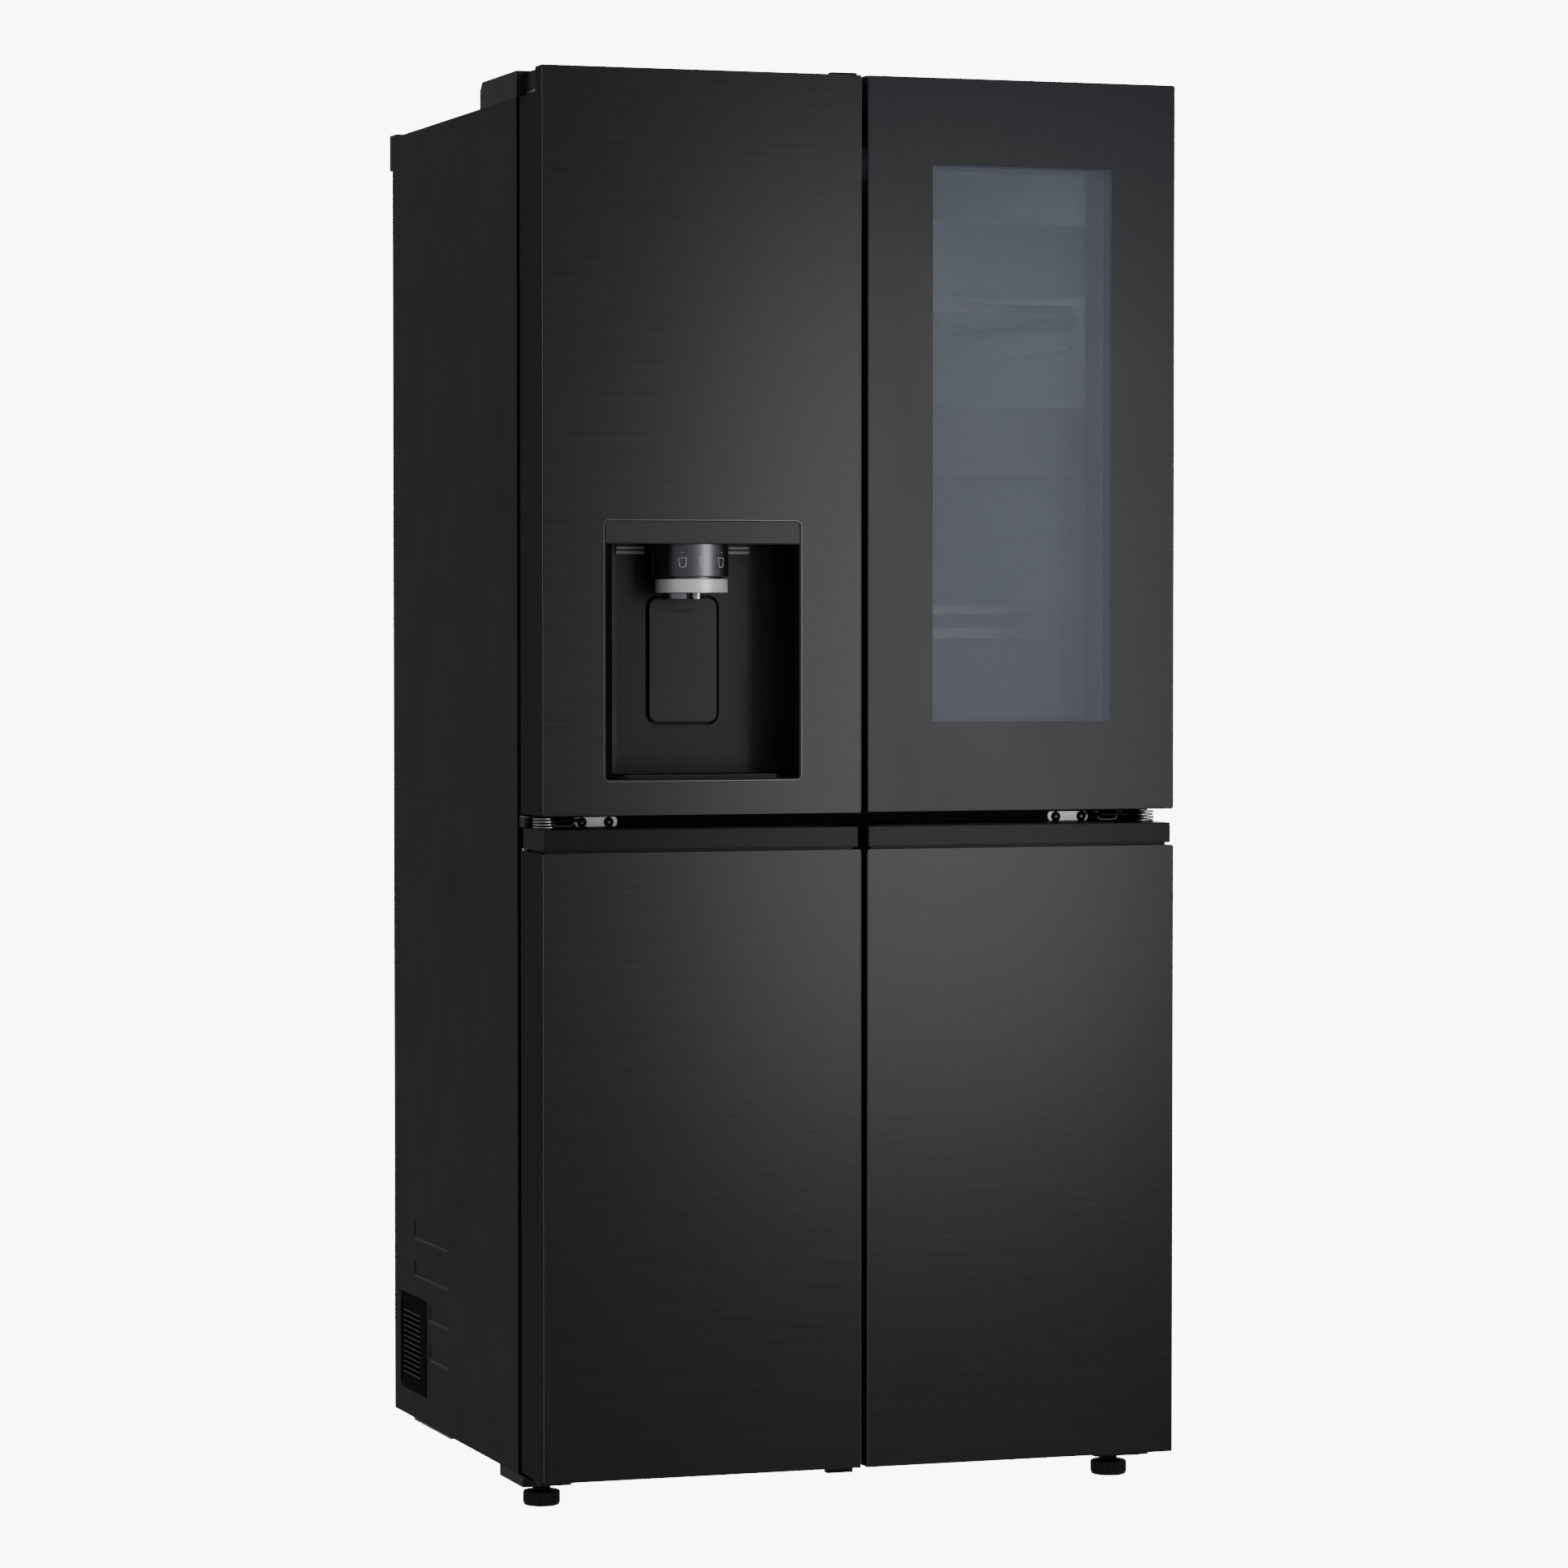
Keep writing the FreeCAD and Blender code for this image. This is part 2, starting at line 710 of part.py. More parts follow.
def dispenser_tray():
    x0 = niche_x0 + 14
    x1 = niche_x1 - 14
    s1 = niche_depth - 8
    dish = box(x0, x1, 6, s1, niche_z0, niche_z0 + tray_height)
    dish = rounded(dish, 20, V(0, 0, 1), lambda p: p.y > s1 - depth / 2 - 1)
    bars = 14
    pitch = (x1 - x0 - 60) / bars
    slots = [box(x0 + 30 + n * pitch, x0 + 30 + n * pitch + pitch / 2, 14, s1 - 12,
                 niche_z0 + 2, niche_z0 + tray_height + 1) for n in range(bars)]
    return dish.cut(group(slots))


def dispenser_paddle():
    x0 = niche_x - paddle_width / 2
    x1 = niche_x + paddle_width / 2
    s1 = niche_depth - 0.5
    pad = box(x0, x1, s1 - paddle_thick, s1, paddle_z0, paddle_z1)
    pad = rounded(pad, paddle_corner, V(0, 1, 0), lambda p: True)
    for lug_x in (x0 + 16, x1 - 26):
        pad = pad.fuse(box(lug_x, lug_x + 10, s1 - 1, paddle_axis_s + 2.5, paddle_axis_z - 3,
                           paddle_axis_z + 3))
    reach = paddle_width / 2 + paddle_play + 2
    return pad.fuse(bar(niche_x - reach, niche_x + reach, paddle_axis_s, paddle_axis_z, paddle_pin))


def steel_door_foam():
    """Insulation round the dispenser: left, right, below and above it."""
    front = sheet
    rear = door_thick - liner - fit
    x0 = -half + sheet + fit
    x1 = free_edge - sheet - fit
    low = housing_z0 - fit
    high = housing_z1 + fit
    z0 = upper_z0 + fit
    z1 = upper_z1 - fit
    return group([
        box(x0, x1, front + fit, rear, z0, low),
        box(x0, x1, front + fit, rear, high, z1),
        box(x0, housing_x0 - fit, front + fit, rear, low + fit, high - fit),
        box(housing_x1 + fit, x1, front + fit, rear, low + fit, high - fit),
    ])


def flip_mullion():
    """The centre bar, folded back along the free edge as it is when the door is open."""
    x1 = free_edge - 4 - gasket_width - 4
    bar_thick = 20.0
    bar_width = 52.0
    mullion = box(x1 - bar_thick, x1, door_thick + fit, door_thick + bar_width,
                  fresh_floor + dyke_clear, fresh_roof - dyke_clear)
    return rounded(mullion, 4, V(0, 0, 1), lambda p: p.y > door_thick - depth / 2 + 5)


def upper_left_skin():
    skin = steel_skin(upper_bottom, door_top).cut(notch())
    opening = box(housing_x0 - fit, housing_x1 + fit, -1, sheet + 1, housing_z0 - fit, housing_z1 + fit)
    return skin.cut(rounded(opening, niche_frame_corner, V(0, 1, 0), lambda p: True))


def top_clip():
    return box(free_edge - 38, free_edge - 4, 6, 18, door_top, height)


# The right door is made on the left and mirrored, so its window is placed from the hinge side.
window_x0 = -half + window_in
window_x1 = window_x0 + window_width
window_z0 = upper_bottom + window_up
window_z1 = door_top - window_down


def window_hole(grow, s0, s1):
    return box(window_x0 - grow, window_x1 + grow, s0, s1, window_z0 - grow, window_z1 + grow)


def glass_front():
    panel = box(-half, free_edge, 0, glass, upper_bottom, door_top)
    return rounded(panel, 1.2, V(0, 0, 1), lambda p: p.y < 1 - depth / 2)


def glass_door_shell():
    outer = box(-half, free_edge, glass + fit, door_thick, upper_bottom, door_top)
    inner = box(-half + sheet, free_edge - sheet, glass, door_thick + 1, upper_bottom - 1, door_top + 1)
    return outer.cut(inner).cut(notch())


def glass_door_foam():
    front = glass + fit
    rear = door_thick - liner - fit
    x0 = -half + sheet + fit
    x1 = free_edge - sheet - fit
    rim = window_rim + fit
    z0 = upper_z0 + fit
    z1 = upper_z1 - fit
    return group([
        box(x0, x1, front, rear, z0, window_z0 - rim),
        box(x0, x1, front, rear, window_z1 + rim, z1),
        box(x0, window_x0 - rim, front, rear, window_z0 - rim + fit, window_z1 + rim - fit),
        box(window_x1 + rim, x1, front, rear, window_z0 - rim + fit, window_z1 + rim - fit),
    ])


def window_frame():
    rim = window_hole(window_rim, glass + fit, door_thick)
    rebate = window_hole(2, pane_back - fit, door_thick + 1)
    return rim.cut(window_hole(0, glass, door_thick + 1)).cut(rebate)


def window_pane():
    return window_hole(1.5, pane_back, pane_back + glass)


# Lower doors, with the handle strip on top
strip_back = 4.5
strip_in = 3.0
groove_back = 9.0


def lower_caps():
    foot = door_block(sheet, panel_top - cap_height, panel_top)
    neck = box(-half + strip_in + 5, free_edge - strip_in - 5, groove_back, door_thick - 2,
               panel_top, panel_top + strip_groove)
    strip = box(-half + strip_in, free_edge - strip_in, strip_back, door_thick,
                panel_top + strip_groove, lower_door_top)
    top = foot.fuse(neck).fuse(strip).removeSplitter()
    top = top.cut(pin_bore(lower_door_top - pin_length - 2, lower_door_top + 1))
    top = top.cut(finger_groove(lower_door_top - 15, lower_door_top + 1))
    low = door_block(sheet, door_bottom, door_bottom + cap_height)
    low = low.cut(pin_bore(door_bottom - 1, door_bottom + pin_length + 2))
    return [top, low]


def bottom_clip():
    return box(free_edge - 36, free_edge - 2, 25, 37, door_bottom - 9, door_bottom)


def lower_foam():
    return door_block(sheet, lower_z0 + fit, lower_z1 - fit, door_thick - liner - fit)


# Inside fittings ----------------------------------------------------------------------------

crisper_top = fresh_floor + crisper_height
shelf_rear = room_rear - 10
shelf_half = room_half - 6
shelf_pitch = (fresh_roof - crisper_top) / (shelf_count + 1)


def shelf_levels():
    return [crisper_top + number * shelf_pitch for number in range(shelf_count + 1)]


def shelves():
    return group([box(-shelf_half, shelf_half, shelf_front + 10, shelf_rear, z, z + glass)
                  for z in shelf_levels()])


def shelf_trims():
    """Front rails under the nose of each glass, and side runners that rest on the lining."""
    trims = []
    for z in shelf_levels():
        nose = box(-shelf_half, shelf_half, shelf_front, shelf_front + 10 - fit, z - 4, z + glass + 3)
        trims.append(nose)
        runner = box(-room_half + fit, -shelf_half + 12, shelf_front + 12, shelf_rear - 4, z - 9, z - fit)
        trims.append(runner)
        trims.append(mirrored(runner))
    return group(trims)


def crispers():
    drawer = tray(-shelf_half + 14, -4, shelf_front, shelf_rear - 6, fresh_floor + 4,
                  crisper_top - 14, basket_wall)
    return pair(drawer)


def drawer_spaces():
    """Left freezer drawers: one in front of the machine-room step, the rest above it."""
    x0 = -room_half + drawer_clear
    x1 = -post_half - drawer_clear
    spaces = [(x0, x1, drawer_front, step_front - drawer_clear, freezer_floor + 4, step_top - 16)]
    upper = drawer_count - 1
    pitch = (freezer_roof - step_top - 8) / upper
    for number in range(upper):
        z = step_top + 4 + number * pitch
        spaces.append((x0, x1, drawer_front, room_rear - drawer_clear, z, z + pitch - 14))
    return spaces


def freezer_drawers():
    drawers = [tray(*space, basket_wall) for space in drawer_spaces()]
    return group(drawers + [mirrored(drawer) for drawer in drawers])


def main():
    save("cabinet_shell", cabinet_shell())
    save("cabinet_foam", cabinet_foam())
    save("fresh_liner", fresh_liner())
    save("freezer_liners", freezer_liners())
    save("front_frame", front_frame())
    save("back_panel", back_panel())
    save("machine_cover", machine_cover())
    save("base_pan", base_pan())
    save("condenser_fan", condenser_fan())
    save("compressor", compressor())
    save("roller_left", roller())
    save("roller_right", mirrored(roller()))
    save("vent_grille", vent_grille())
    save("rear_spacers", rear_spacers())
    save("power_inlet", power_inlet())
    save("top_hinges", top_hinges())
    save("hinge_covers", hinge_covers())
    save("mid_hinges", mid_hinges())
    save("bottom_hinges", bottom_hinges())
    save("feet", feet())
    save("hinge_screws", hinge_screws())
    save("shelves", shelves())
    save("shelf_trims", shelf_trims())
    save("crispers", crispers())
    save("freezer_drawers", freezer_drawers())

    upper_lining = door_lining(upper_z0, upper_z1, upper_dyke_z0, upper_dyke_z1, upper_free)
    upper_gasket = door_gasket(upper_seal_z0, upper_seal_z1)
    upper_baskets = baskets(upper_basket_places, upper_dyke_z0 + dyke_wall + 2, upper_dyke_z1 - 20,
                            upper_free, upper_basket_depth)
    caps_left = upper_caps(sheet)
    save("door_ul_skin", upper_left_skin())
    save("door_ul_foam", steel_door_foam())
    save("door_ul_liner", upper_lining)
    save("door_ul_gasket", upper_gasket)
    save("door_ul_caps", group([caps_left[0].fuse(top_clip()), caps_left[1]]))
    save("door_ul_baskets", upper_baskets)
    save("dispenser_housing", dispenser_housing())
    save("dispenser_fascia", dispenser_fascia())
    save("dispenser_head", dispenser_head())
    save("dispenser_ring", dispenser_ring())
    save("dispenser_nozzle", dispenser_nozzle())
    save("dispenser_tray", dispenser_tray())
    save("dispenser_paddle", dispenser_paddle())
    save("flip_mullion", flip_mullion())

    back, dyke = upper_lining.Solids
    glass_lining = group([back.cut(window_hole(window_rim + fit, door_thick - 5, door_thick + 1)), dyke])
    save("door_ur_glass", mirrored(glass_front()))
    save("door_ur_shell", mirrored(glass_door_shell()))
    save("door_ur_foam", mirrored(glass_door_foam()))
    save("door_ur_frame", mirrored(window_frame()))
    save("door_ur_pane", mirrored(window_pane()))
    save("door_ur_liner", mirrored(glass_lining))
    save("door_ur_gasket", mirrored(upper_gasket))
    save("door_ur_caps", mirrored(group(upper_caps(glass))))
    save("door_ur_baskets", mirrored(upper_baskets))

    lower_lining = door_lining(lower_z0, lower_z1, lower_dyke_z0, lower_dyke_z1, lower_free)
    lower_gasket = door_gasket(lower_seal_z0, lower_seal_z1)
    lower_baskets = baskets(lower_basket_places, lower_dyke_z0 + dyke_wall + 40, lower_dyke_z1 - 20,
                            lower_free, lower_basket_depth)
    lower_skin = steel_skin(door_bottom, panel_top)
    caps_low = lower_caps()
    clipped = group([caps_low[0], caps_low[1].fuse(bottom_clip())])
    for name, side, caps in (
        ("ll", lambda shape: shape, clipped),
        ("lr", mirrored, group(caps_low)),
    ):
        save("door_" + name + "_skin", side(lower_skin))
        save("door_" + name + "_foam", side(lower_foam()))
        save("door_" + name + "_liner", side(lower_lining))
        save("door_" + name + "_gasket", side(lower_gasket))
        save("door_" + name + "_caps", side(caps))
        save("door_" + name + "_baskets", side(lower_baskets))


main()
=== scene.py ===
import math

import bmesh
import bpy
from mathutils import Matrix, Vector


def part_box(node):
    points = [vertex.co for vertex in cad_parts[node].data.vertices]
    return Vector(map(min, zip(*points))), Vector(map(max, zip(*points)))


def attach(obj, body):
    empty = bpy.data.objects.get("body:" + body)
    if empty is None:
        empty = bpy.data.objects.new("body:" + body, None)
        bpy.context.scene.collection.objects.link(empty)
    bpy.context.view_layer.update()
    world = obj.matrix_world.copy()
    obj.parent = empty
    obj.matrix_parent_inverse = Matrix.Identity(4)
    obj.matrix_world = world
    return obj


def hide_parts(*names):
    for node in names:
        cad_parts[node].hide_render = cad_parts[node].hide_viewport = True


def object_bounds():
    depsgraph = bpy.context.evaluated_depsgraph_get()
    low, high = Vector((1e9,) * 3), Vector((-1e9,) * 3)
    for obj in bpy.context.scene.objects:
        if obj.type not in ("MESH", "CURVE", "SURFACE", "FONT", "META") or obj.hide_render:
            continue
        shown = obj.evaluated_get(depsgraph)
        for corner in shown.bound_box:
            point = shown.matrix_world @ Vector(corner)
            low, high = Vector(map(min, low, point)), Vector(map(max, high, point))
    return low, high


bl_info = {
    "name": "French Door Refrigerator",
    "version": (1, 0, 0),
    "blender": (4, 5, 0),
    "location": "View3D > Sidebar > Refrigerator",
    "description": "Builds the finished pieces of a four-door refrigerator over its measured frame",
    "category": "Object",
}

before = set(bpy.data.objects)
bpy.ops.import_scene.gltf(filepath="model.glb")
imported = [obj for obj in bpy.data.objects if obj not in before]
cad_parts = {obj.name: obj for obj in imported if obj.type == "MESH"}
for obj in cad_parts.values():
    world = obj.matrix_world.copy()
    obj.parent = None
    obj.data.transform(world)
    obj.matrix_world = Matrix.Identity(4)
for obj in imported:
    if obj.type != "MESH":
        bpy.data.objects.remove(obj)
CAD_LOW, CAD_HIGH = [corner.copy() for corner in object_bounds()]
FRONT = CAD_LOW.y
CABINET = "cabinet"
UPPER_LEFT = "upper_left_door"
UPPER_RIGHT = "upper_right_door"
LOWER_LEFT = "lower_left_door"
LOWER_RIGHT = "lower_right_door"
LEVER = "dispenser_lever"
DOORS = (("ul", UPPER_LEFT), ("ur", UPPER_RIGHT), ("ll", LOWER_LEFT), ("lr", LOWER_RIGHT))
BASKET_HEIGHT = 90.0
LINER = 1.5
FLOOR_DRAWER_TOP = 244.0
FLOOR_DRAWER_REAR = 493.0
UPPER_DRAWERS_LOW = 264.0
DRAWER_GAP = 14.0
DRAWER_INNER_SIDE = 33.0
BACKDROP_GLOW = 9.0
DRUM_BACK = 48.0
DRUM_RADIUS = 46.0
BASKET_SHARES = {"u": (0.0, 0.62, 1.0), "l": (0.0, 1.0)}


# Places and shapes --------------------------------------------------------------------------


def at(x, s, z):
    """A point from millimetres: x from the middle, s back from the doors' front, z from the floor."""
    return Vector((x / 1000, FRONT + s / 1000, z / 1000))


def span(node):
    """A node's box in the same millimetres: (x0, x1, s0, s1, z0, z1)."""
    low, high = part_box(node)
    return (low.x * 1000, high.x * 1000, (low.y - FRONT) * 1000, (high.y - FRONT) * 1000,
            low.z * 1000, high.z * 1000)


# Three ways to lay a shape's (a, b, c): facing forward, lying level, or facing sideways.


def front(a, b, c):
    return at(a, c, b)


def level(a, b, c):
    return at(a, b, c)


def sideways(a, b, c):
    return at(c, a, b)


def outline(a0, a1, b0, b1, radius, steps=5):
    """A rectangle with round corners, anticlockwise, as (a, b) pairs."""
    radius = max(min(radius, (a1 - a0) / 2 - 1e-4, (b1 - b0) / 2 - 1e-4), 1e-4)
    corners = [(a1 - radius, b0 + radius, -90), (a1 - radius, b1 - radius, 0),
               (a0 + radius, b1 - radius, 90), (a0 + radius, b0 + radius, 180)]
    points = []
    for a, b, start in corners:
        for step in range(steps + 1):
            angle = math.radians(start + 90 * step / steps)
            points.append((a + radius * math.cos(angle), b + radius * math.sin(angle)))
    return points


def circle(a, b, radius, steps):
    turn = 2 * math.pi / steps
    return [(a + radius * math.cos(turn * n), b + radius * math.sin(turn * n)) for n in range(steps)]


def loft(bm, loops, ring=False):
    """Skins a row of loops that have the same number of points."""
    rows = [[bm.verts.new(point) for point in loop] for loop in loops]
    pairs = list(zip(rows, rows[1:]))
    if ring:
        pairs.append((rows[-1], rows[0]))
    for lower, upper in pairs:
        count = len(lower)
        for n in range(count):
            bm.faces.new((lower[n], lower[(n + 1) % count], upper[(n + 1) % count], upper[n]))
    if not ring:
        bm.faces.new(list(reversed(rows[0])))
        bm.faces.new(rows[-1])


def slab(bm, a0, a1, b0, b1, c0, c1, place, corner=2.0, edge=0.8, steps=3):
    """A block with round corners and softened edges at both ends of its c axis."""
    loops = []
    for end, way in ((c0, 1), (c1, -1)):
        part = []
        for step in range(steps + 1):
            angle = math.radians(90 * step / steps)
            inset = edge * (1 - math.sin(angle))
            depth = end + way * edge * (1 - math.cos(angle))
            part.append([place(a, b, depth) for a, b in
                         outline(a0 + inset, a1 - inset, b0 + inset, b1 - inset, corner - inset)])
        loops += part if way == 1 else list(reversed(part))
    loft(bm, loops)


def tub(bm, x0, x1, s0, s1, z0, z1, corner, wall, draft):
    """An open tray: round corners, a soft rim, and walls that lean in by draft at the bottom."""
    loops = []
    rows = [(draft + 3, z0), (draft + 0.8, z0 + 1.2), (draft, z0 + 4), (0, z1 - 1), (0.5, z1),
            (wall - 0.5, z1), (wall, z1 - 1), (wall + draft, z0 + wall + 4), (wall + draft + 3, z0 + wall)]
    for inset, z in rows:
        loops.append([at(a, b, z) for a, b in
                      outline(x0 + inset, x1 - inset, s0 + inset, s1 - inset, max(corner - inset, 1))])
    loft(bm, loops)


def turned(bm, profile, x, s, steps):
    """A turned shape about an upright axis, from (radius, z) pairs."""
    loft(bm, [[at(a, b, z) for a, b in circle(x, s, radius, steps)] for radius, z in profile])


def turned_along(bm, profile, centre, axis, steps=32):
    """A turned shape about any axis, from (radius, distance) pairs in millimetres."""
    axis = Vector(axis).normalized()
    first = axis.orthogonal().normalized()
    second = axis.cross(first)
    loops = []
    for radius, distance in profile:
        loops.append([centre + axis * distance / 1000 + (first * a + second * b) / 1000
                      for a, b in circle(0, 0, radius, steps)])
    loft(bm, loops)


def border(bm, x0, x1, z0, z1, profile, corner=0.5):
    """A picture-frame ring whose section is (inset, s) pairs, walked round once."""
    loops = [[at(a, s, b) for a, b in
              outline(x0 + inset, x1 - inset, z0 + inset, z1 - inset, corner - inset)]
             for inset, s in profile]
    loft(bm, loops, ring=True)


def flatten_behind(bm, s):
    """Moves every point that lies further back than s forward to s."""
    limit = at(0, s, 0).y
    for vert in bm.verts:
        vert.co.y = min(vert.co.y, limit)


def prism(bm, points, c0, c1, place):
    loft(bm, [[place(a, b, c) for a, b in points] for c in (c0, c1)])


def make(name, bm, finish, body, smooth=38, bevel=0.0):
    """Turns a bmesh into a finished piece that rides on a body."""
    bmesh.ops.recalc_face_normals(bm, faces=bm.faces)
    mesh = bpy.data.meshes.new(name)
    bm.to_mesh(mesh)
    bm.free()
    mesh.shade_smooth()
    mesh.set_sharp_from_angle(angle=math.radians(smooth))
    piece = bpy.data.objects.new(name, mesh)
    bpy.context.scene.collection.objects.link(piece)
    mesh.materials.append(finish)
    if bevel:
        soften = piece.modifiers.new("Soft edges", "BEVEL")
        soften.width = bevel / 1000
        soften.segments = 2
        soften.limit_method = "ANGLE"
        soften.angle_limit = math.radians(30)
        soften.harden_normals = True
    flatten = piece.modifiers.new("Flat faces", "WEIGHTED_NORMAL")
    flatten.keep_sharp = True
    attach(piece, body)
    return piece


def block(name, finish, body, *shape):
    """A piece that is one slab; shape is what slab takes after its bmesh."""
    bm = bmesh.new()
    slab(bm, *shape)
    return make(name, bm, finish, body)


def tube(name, points, radius, finish, body, cyclic=False):
    """A wire or pipe along points."""
    data = bpy.data.curves.new(name, "CURVE")
    data.dimensions = "3D"
    data.bevel_depth = radius / 1000
    data.bevel_resolution = 3
    spline = data.splines.new("POLY")
    spline.points.add(len(points) - 1)
    for point, place in zip(spline.points, points):
        point.co = (*place, 1)
    spline.use_cyclic_u = cyclic
    piece = bpy.data.objects.new(name, data)
    bpy.context.scene.collection.objects.link(piece)
    data.materials.append(finish)
    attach(piece, body)
    return piece


def basket_lows(code):
    """Heights of the undersides of a door's baskets, lowest first."""
    z0, z1 = span("door_" + code + "_baskets")[4:]
    return [z0 + share * (z1 - z0 - BASKET_HEIGHT) for share in BASKET_SHARES[code[0]]]


def paint(finish, *nodes):
    """Gives a carried-over node its finish."""
    for node in nodes:
        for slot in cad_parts[node].material_slots:
            slot.material = finish


# Finishes -----------------------------------------------------------------------------------


def scaled_noise(tree, scale, size, detail):
    """Noise over the object's own coordinates, stretched by scale."""
    place = tree.nodes.new("ShaderNodeTexCoord")
    mapping = tree.nodes.new("ShaderNodeMapping")
    mapping.inputs["Scale"].default_value = scale
    noise = tree.nodes.new("ShaderNodeTexNoise")
    noise.inputs["Scale"].default_value = size
    noise.inputs["Detail"].default_value = detail
    tree.links.new(place.outputs["Object"], mapping.inputs["Vector"])
    tree.links.new(mapping.outputs["Vector"], noise.inputs["Vector"])
    return noise.outputs["Fac"]


def maths(tree, operation, first, second):
    node = tree.nodes.new("ShaderNodeMath")
    node.operation = operation
    for socket, value in zip(node.inputs, (first, second)):
        if isinstance(value, (int, float)):
            socket.default_value = value
        else:
            tree.links.new(value, socket)
    return node.outputs["Value"]


def tinted(tree, colour, strength):
    """A colour made lighter or darker by a value about 1."""
    node = tree.nodes.new("ShaderNodeVectorMath")
    node.operation = "SCALE"
    tree.links.new(colour, node.inputs[0])
    tree.links.new(strength, node.inputs["Scale"])
    return node.outputs["Vector"]


def effect_group(name, contrast, roughness, swing, pattern):
    """A node group that varies a colour and its gloss about the values given to it.

    pattern adds its nodes to the tree and returns a value about 0.5 and a height for the bump.
    """
    if name in bpy.data.node_groups:
        return bpy.data.node_groups[name]
    tree = bpy.data.node_groups.new(name, "ShaderNodeTree")
    for label, kind, value in (("Colour", "NodeSocketColor", (0.05, 0.05, 0.05, 1)),
                               ("Contrast", "NodeSocketFloat", contrast),
                               ("Roughness", "NodeSocketFloat", roughness)):
        socket = tree.interface.new_socket(name=label, in_out="INPUT", socket_type=kind)
        socket.default_value = value
    for label, kind in (("Colour", "NodeSocketColor"), ("Roughness", "NodeSocketFloat"),
                        ("Height", "NodeSocketFloat")):
        tree.interface.new_socket(name=label, in_out="OUTPUT", socket_type=kind)
    given = tree.nodes.new("NodeGroupInput")
    out = tree.nodes.new("NodeGroupOutput")
    value, height = pattern(tree)
    centred = maths(tree, "SUBTRACT", value, 0.5)
    tone = maths(tree, "ADD", maths(tree, "MULTIPLY", centred, given.outputs["Contrast"]), 1.0)
    rough = maths(tree, "ADD", maths(tree, "MULTIPLY", centred, swing), given.outputs["Roughness"])
    tree.links.new(tinted(tree, given.outputs["Colour"], tone), out.inputs["Colour"])
    tree.links.new(rough, out.inputs["Roughness"])
    tree.links.new(height, out.inputs["Height"])
    return tree


def brushed_lines():
    """Long fine lines along the width, over slow bands of tone."""
    def pattern(tree):
        fine = scaled_noise(tree, (12, 12, 1500), 1.0, 2)
        broad = scaled_noise(tree, (5, 5, 480), 1.0, 2)
        both = maths(tree, "ADD", maths(tree, "MULTIPLY", fine, 0.65), maths(tree, "MULTIPLY", broad, 0.35))
        return both, both

    return effect_group("Brushed lines", 0.3, 0.35, 0.18, pattern)


def moulded_grain():
    """The fine pebbled skin of moulded plastic and powder paint."""
    def pattern(tree):
        pebble = scaled_noise(tree, (1, 1, 1), 1300, 2)
        cloud = scaled_noise(tree, (1, 1, 1), 9, 3)
        return maths(tree, "MULTIPLY", maths(tree, "ADD", pebble, cloud), 0.5), pebble

    return effect_group("Moulded grain", 0.1, 0.5, 0.2, pattern)


def wiped_gloss():
    """Faint wiping marks that vary the gloss of a polished surface."""
    def pattern(tree):
        wipe = scaled_noise(tree, (3, 3, 1.2), 4, 3)
        return wipe, wipe

    return effect_group("Wiped gloss", 0.1, 0.1, 0.08, pattern)


def material(name, colour, roughness, effect, contrast, bump=0.0, distance=0.0001, **sockets):
    """A Principled material whose colour, gloss and bump come through one of the effect groups."""
    if name in bpy.data.materials:
        return bpy.data.materials[name]
    finish = bpy.data.materials.new(name)
    finish.use_nodes = True
    tree = finish.node_tree
    shader = tree.nodes["Principled BSDF"]
    surface = tree.nodes.new("ShaderNodeGroup")
    surface.node_tree = effect()
    surface.inputs["Colour"].default_value = (*colour, 1)
    surface.inputs["Contrast"].default_value = contrast
    surface.inputs["Roughness"].default_value = roughness
    tree.links.new(surface.outputs["Colour"], shader.inputs["Base Color"])
    tree.links.new(surface.outputs["Roughness"], shader.inputs["Roughness"])
    if bump:
        relief = tree.nodes.new("ShaderNodeBump")
        relief.inputs["Strength"].default_value = bump
        relief.inputs["Distance"].default_value = distance
        tree.links.new(surface.outputs["Height"], relief.inputs["Height"])
        tree.links.new(relief.outputs["Normal"], shader.inputs["Normal"])
    for label, value in sockets.items():
        shader.inputs[label.replace("_", " ")].default_value = value
    return finish


def black_steel():
    colour = bpy.context.scene.fridge_finish.steel
    return material("Black brushed steel", colour, 0.36, brushed_lines, 0.55, 0.12, 0.0002,
                    Metallic=1.0, Anisotropic=0.45, Anisotropic_Rotation=0.25,
                    Specular_Tint=(0.6, 0.6, 0.6, 1))


# A pale non-metal colour for the lines along the door edges: painted highlight.
def fold_highlight():
    return material("Painted fold highlight", (0.11, 0.112, 0.12), 0.35, wiped_gloss, 0.05)


def side_steel():
    colour = bpy.context.scene.fridge_finish.side
    return material("Side panel coat", colour, 0.5, moulded_grain, 0.05, 0.1, Metallic=0.35)


# A lighter, non-metal copy of the side coat for some dish walls: painted highlight.
def dish_wall_highlight():
    return material("Side coat painted highlight", (0.06, 0.06, 0.064), 0.5, moulded_grain, 0.05, 0.1)


def dark_frame_paint():
    return material("Dark frame paint", (0.004, 0.004, 0.0045), 0.6, moulded_grain, 0.2, 0.1,
                    Specular_IOR_Level=0.25)


def black_plastic():
    colour = bpy.context.scene.fridge_finish.plastic
    return material("Black moulded plastic", colour, 0.42, moulded_grain, 0.3, 0.25,
                    Specular_IOR_Level=0.3)


def cover_plastic():
    return material("Hinge cover plastic", (0.008, 0.008, 0.009), 0.38, moulded_grain, 0.2, 0.2)


def vent_plastic():
    return material("Vent plastic", (0.0045, 0.0045, 0.005), 0.5, moulded_grain, 0.2, 0.2,
                    Specular_IOR_Level=0.02)


# A pale grey for strips on the vent slats: painted highlight.
def vent_slat_highlight():
    return material("Vent slat painted highlight", (0.13, 0.13, 0.135), 0.45, moulded_grain, 0.2, 0.2)


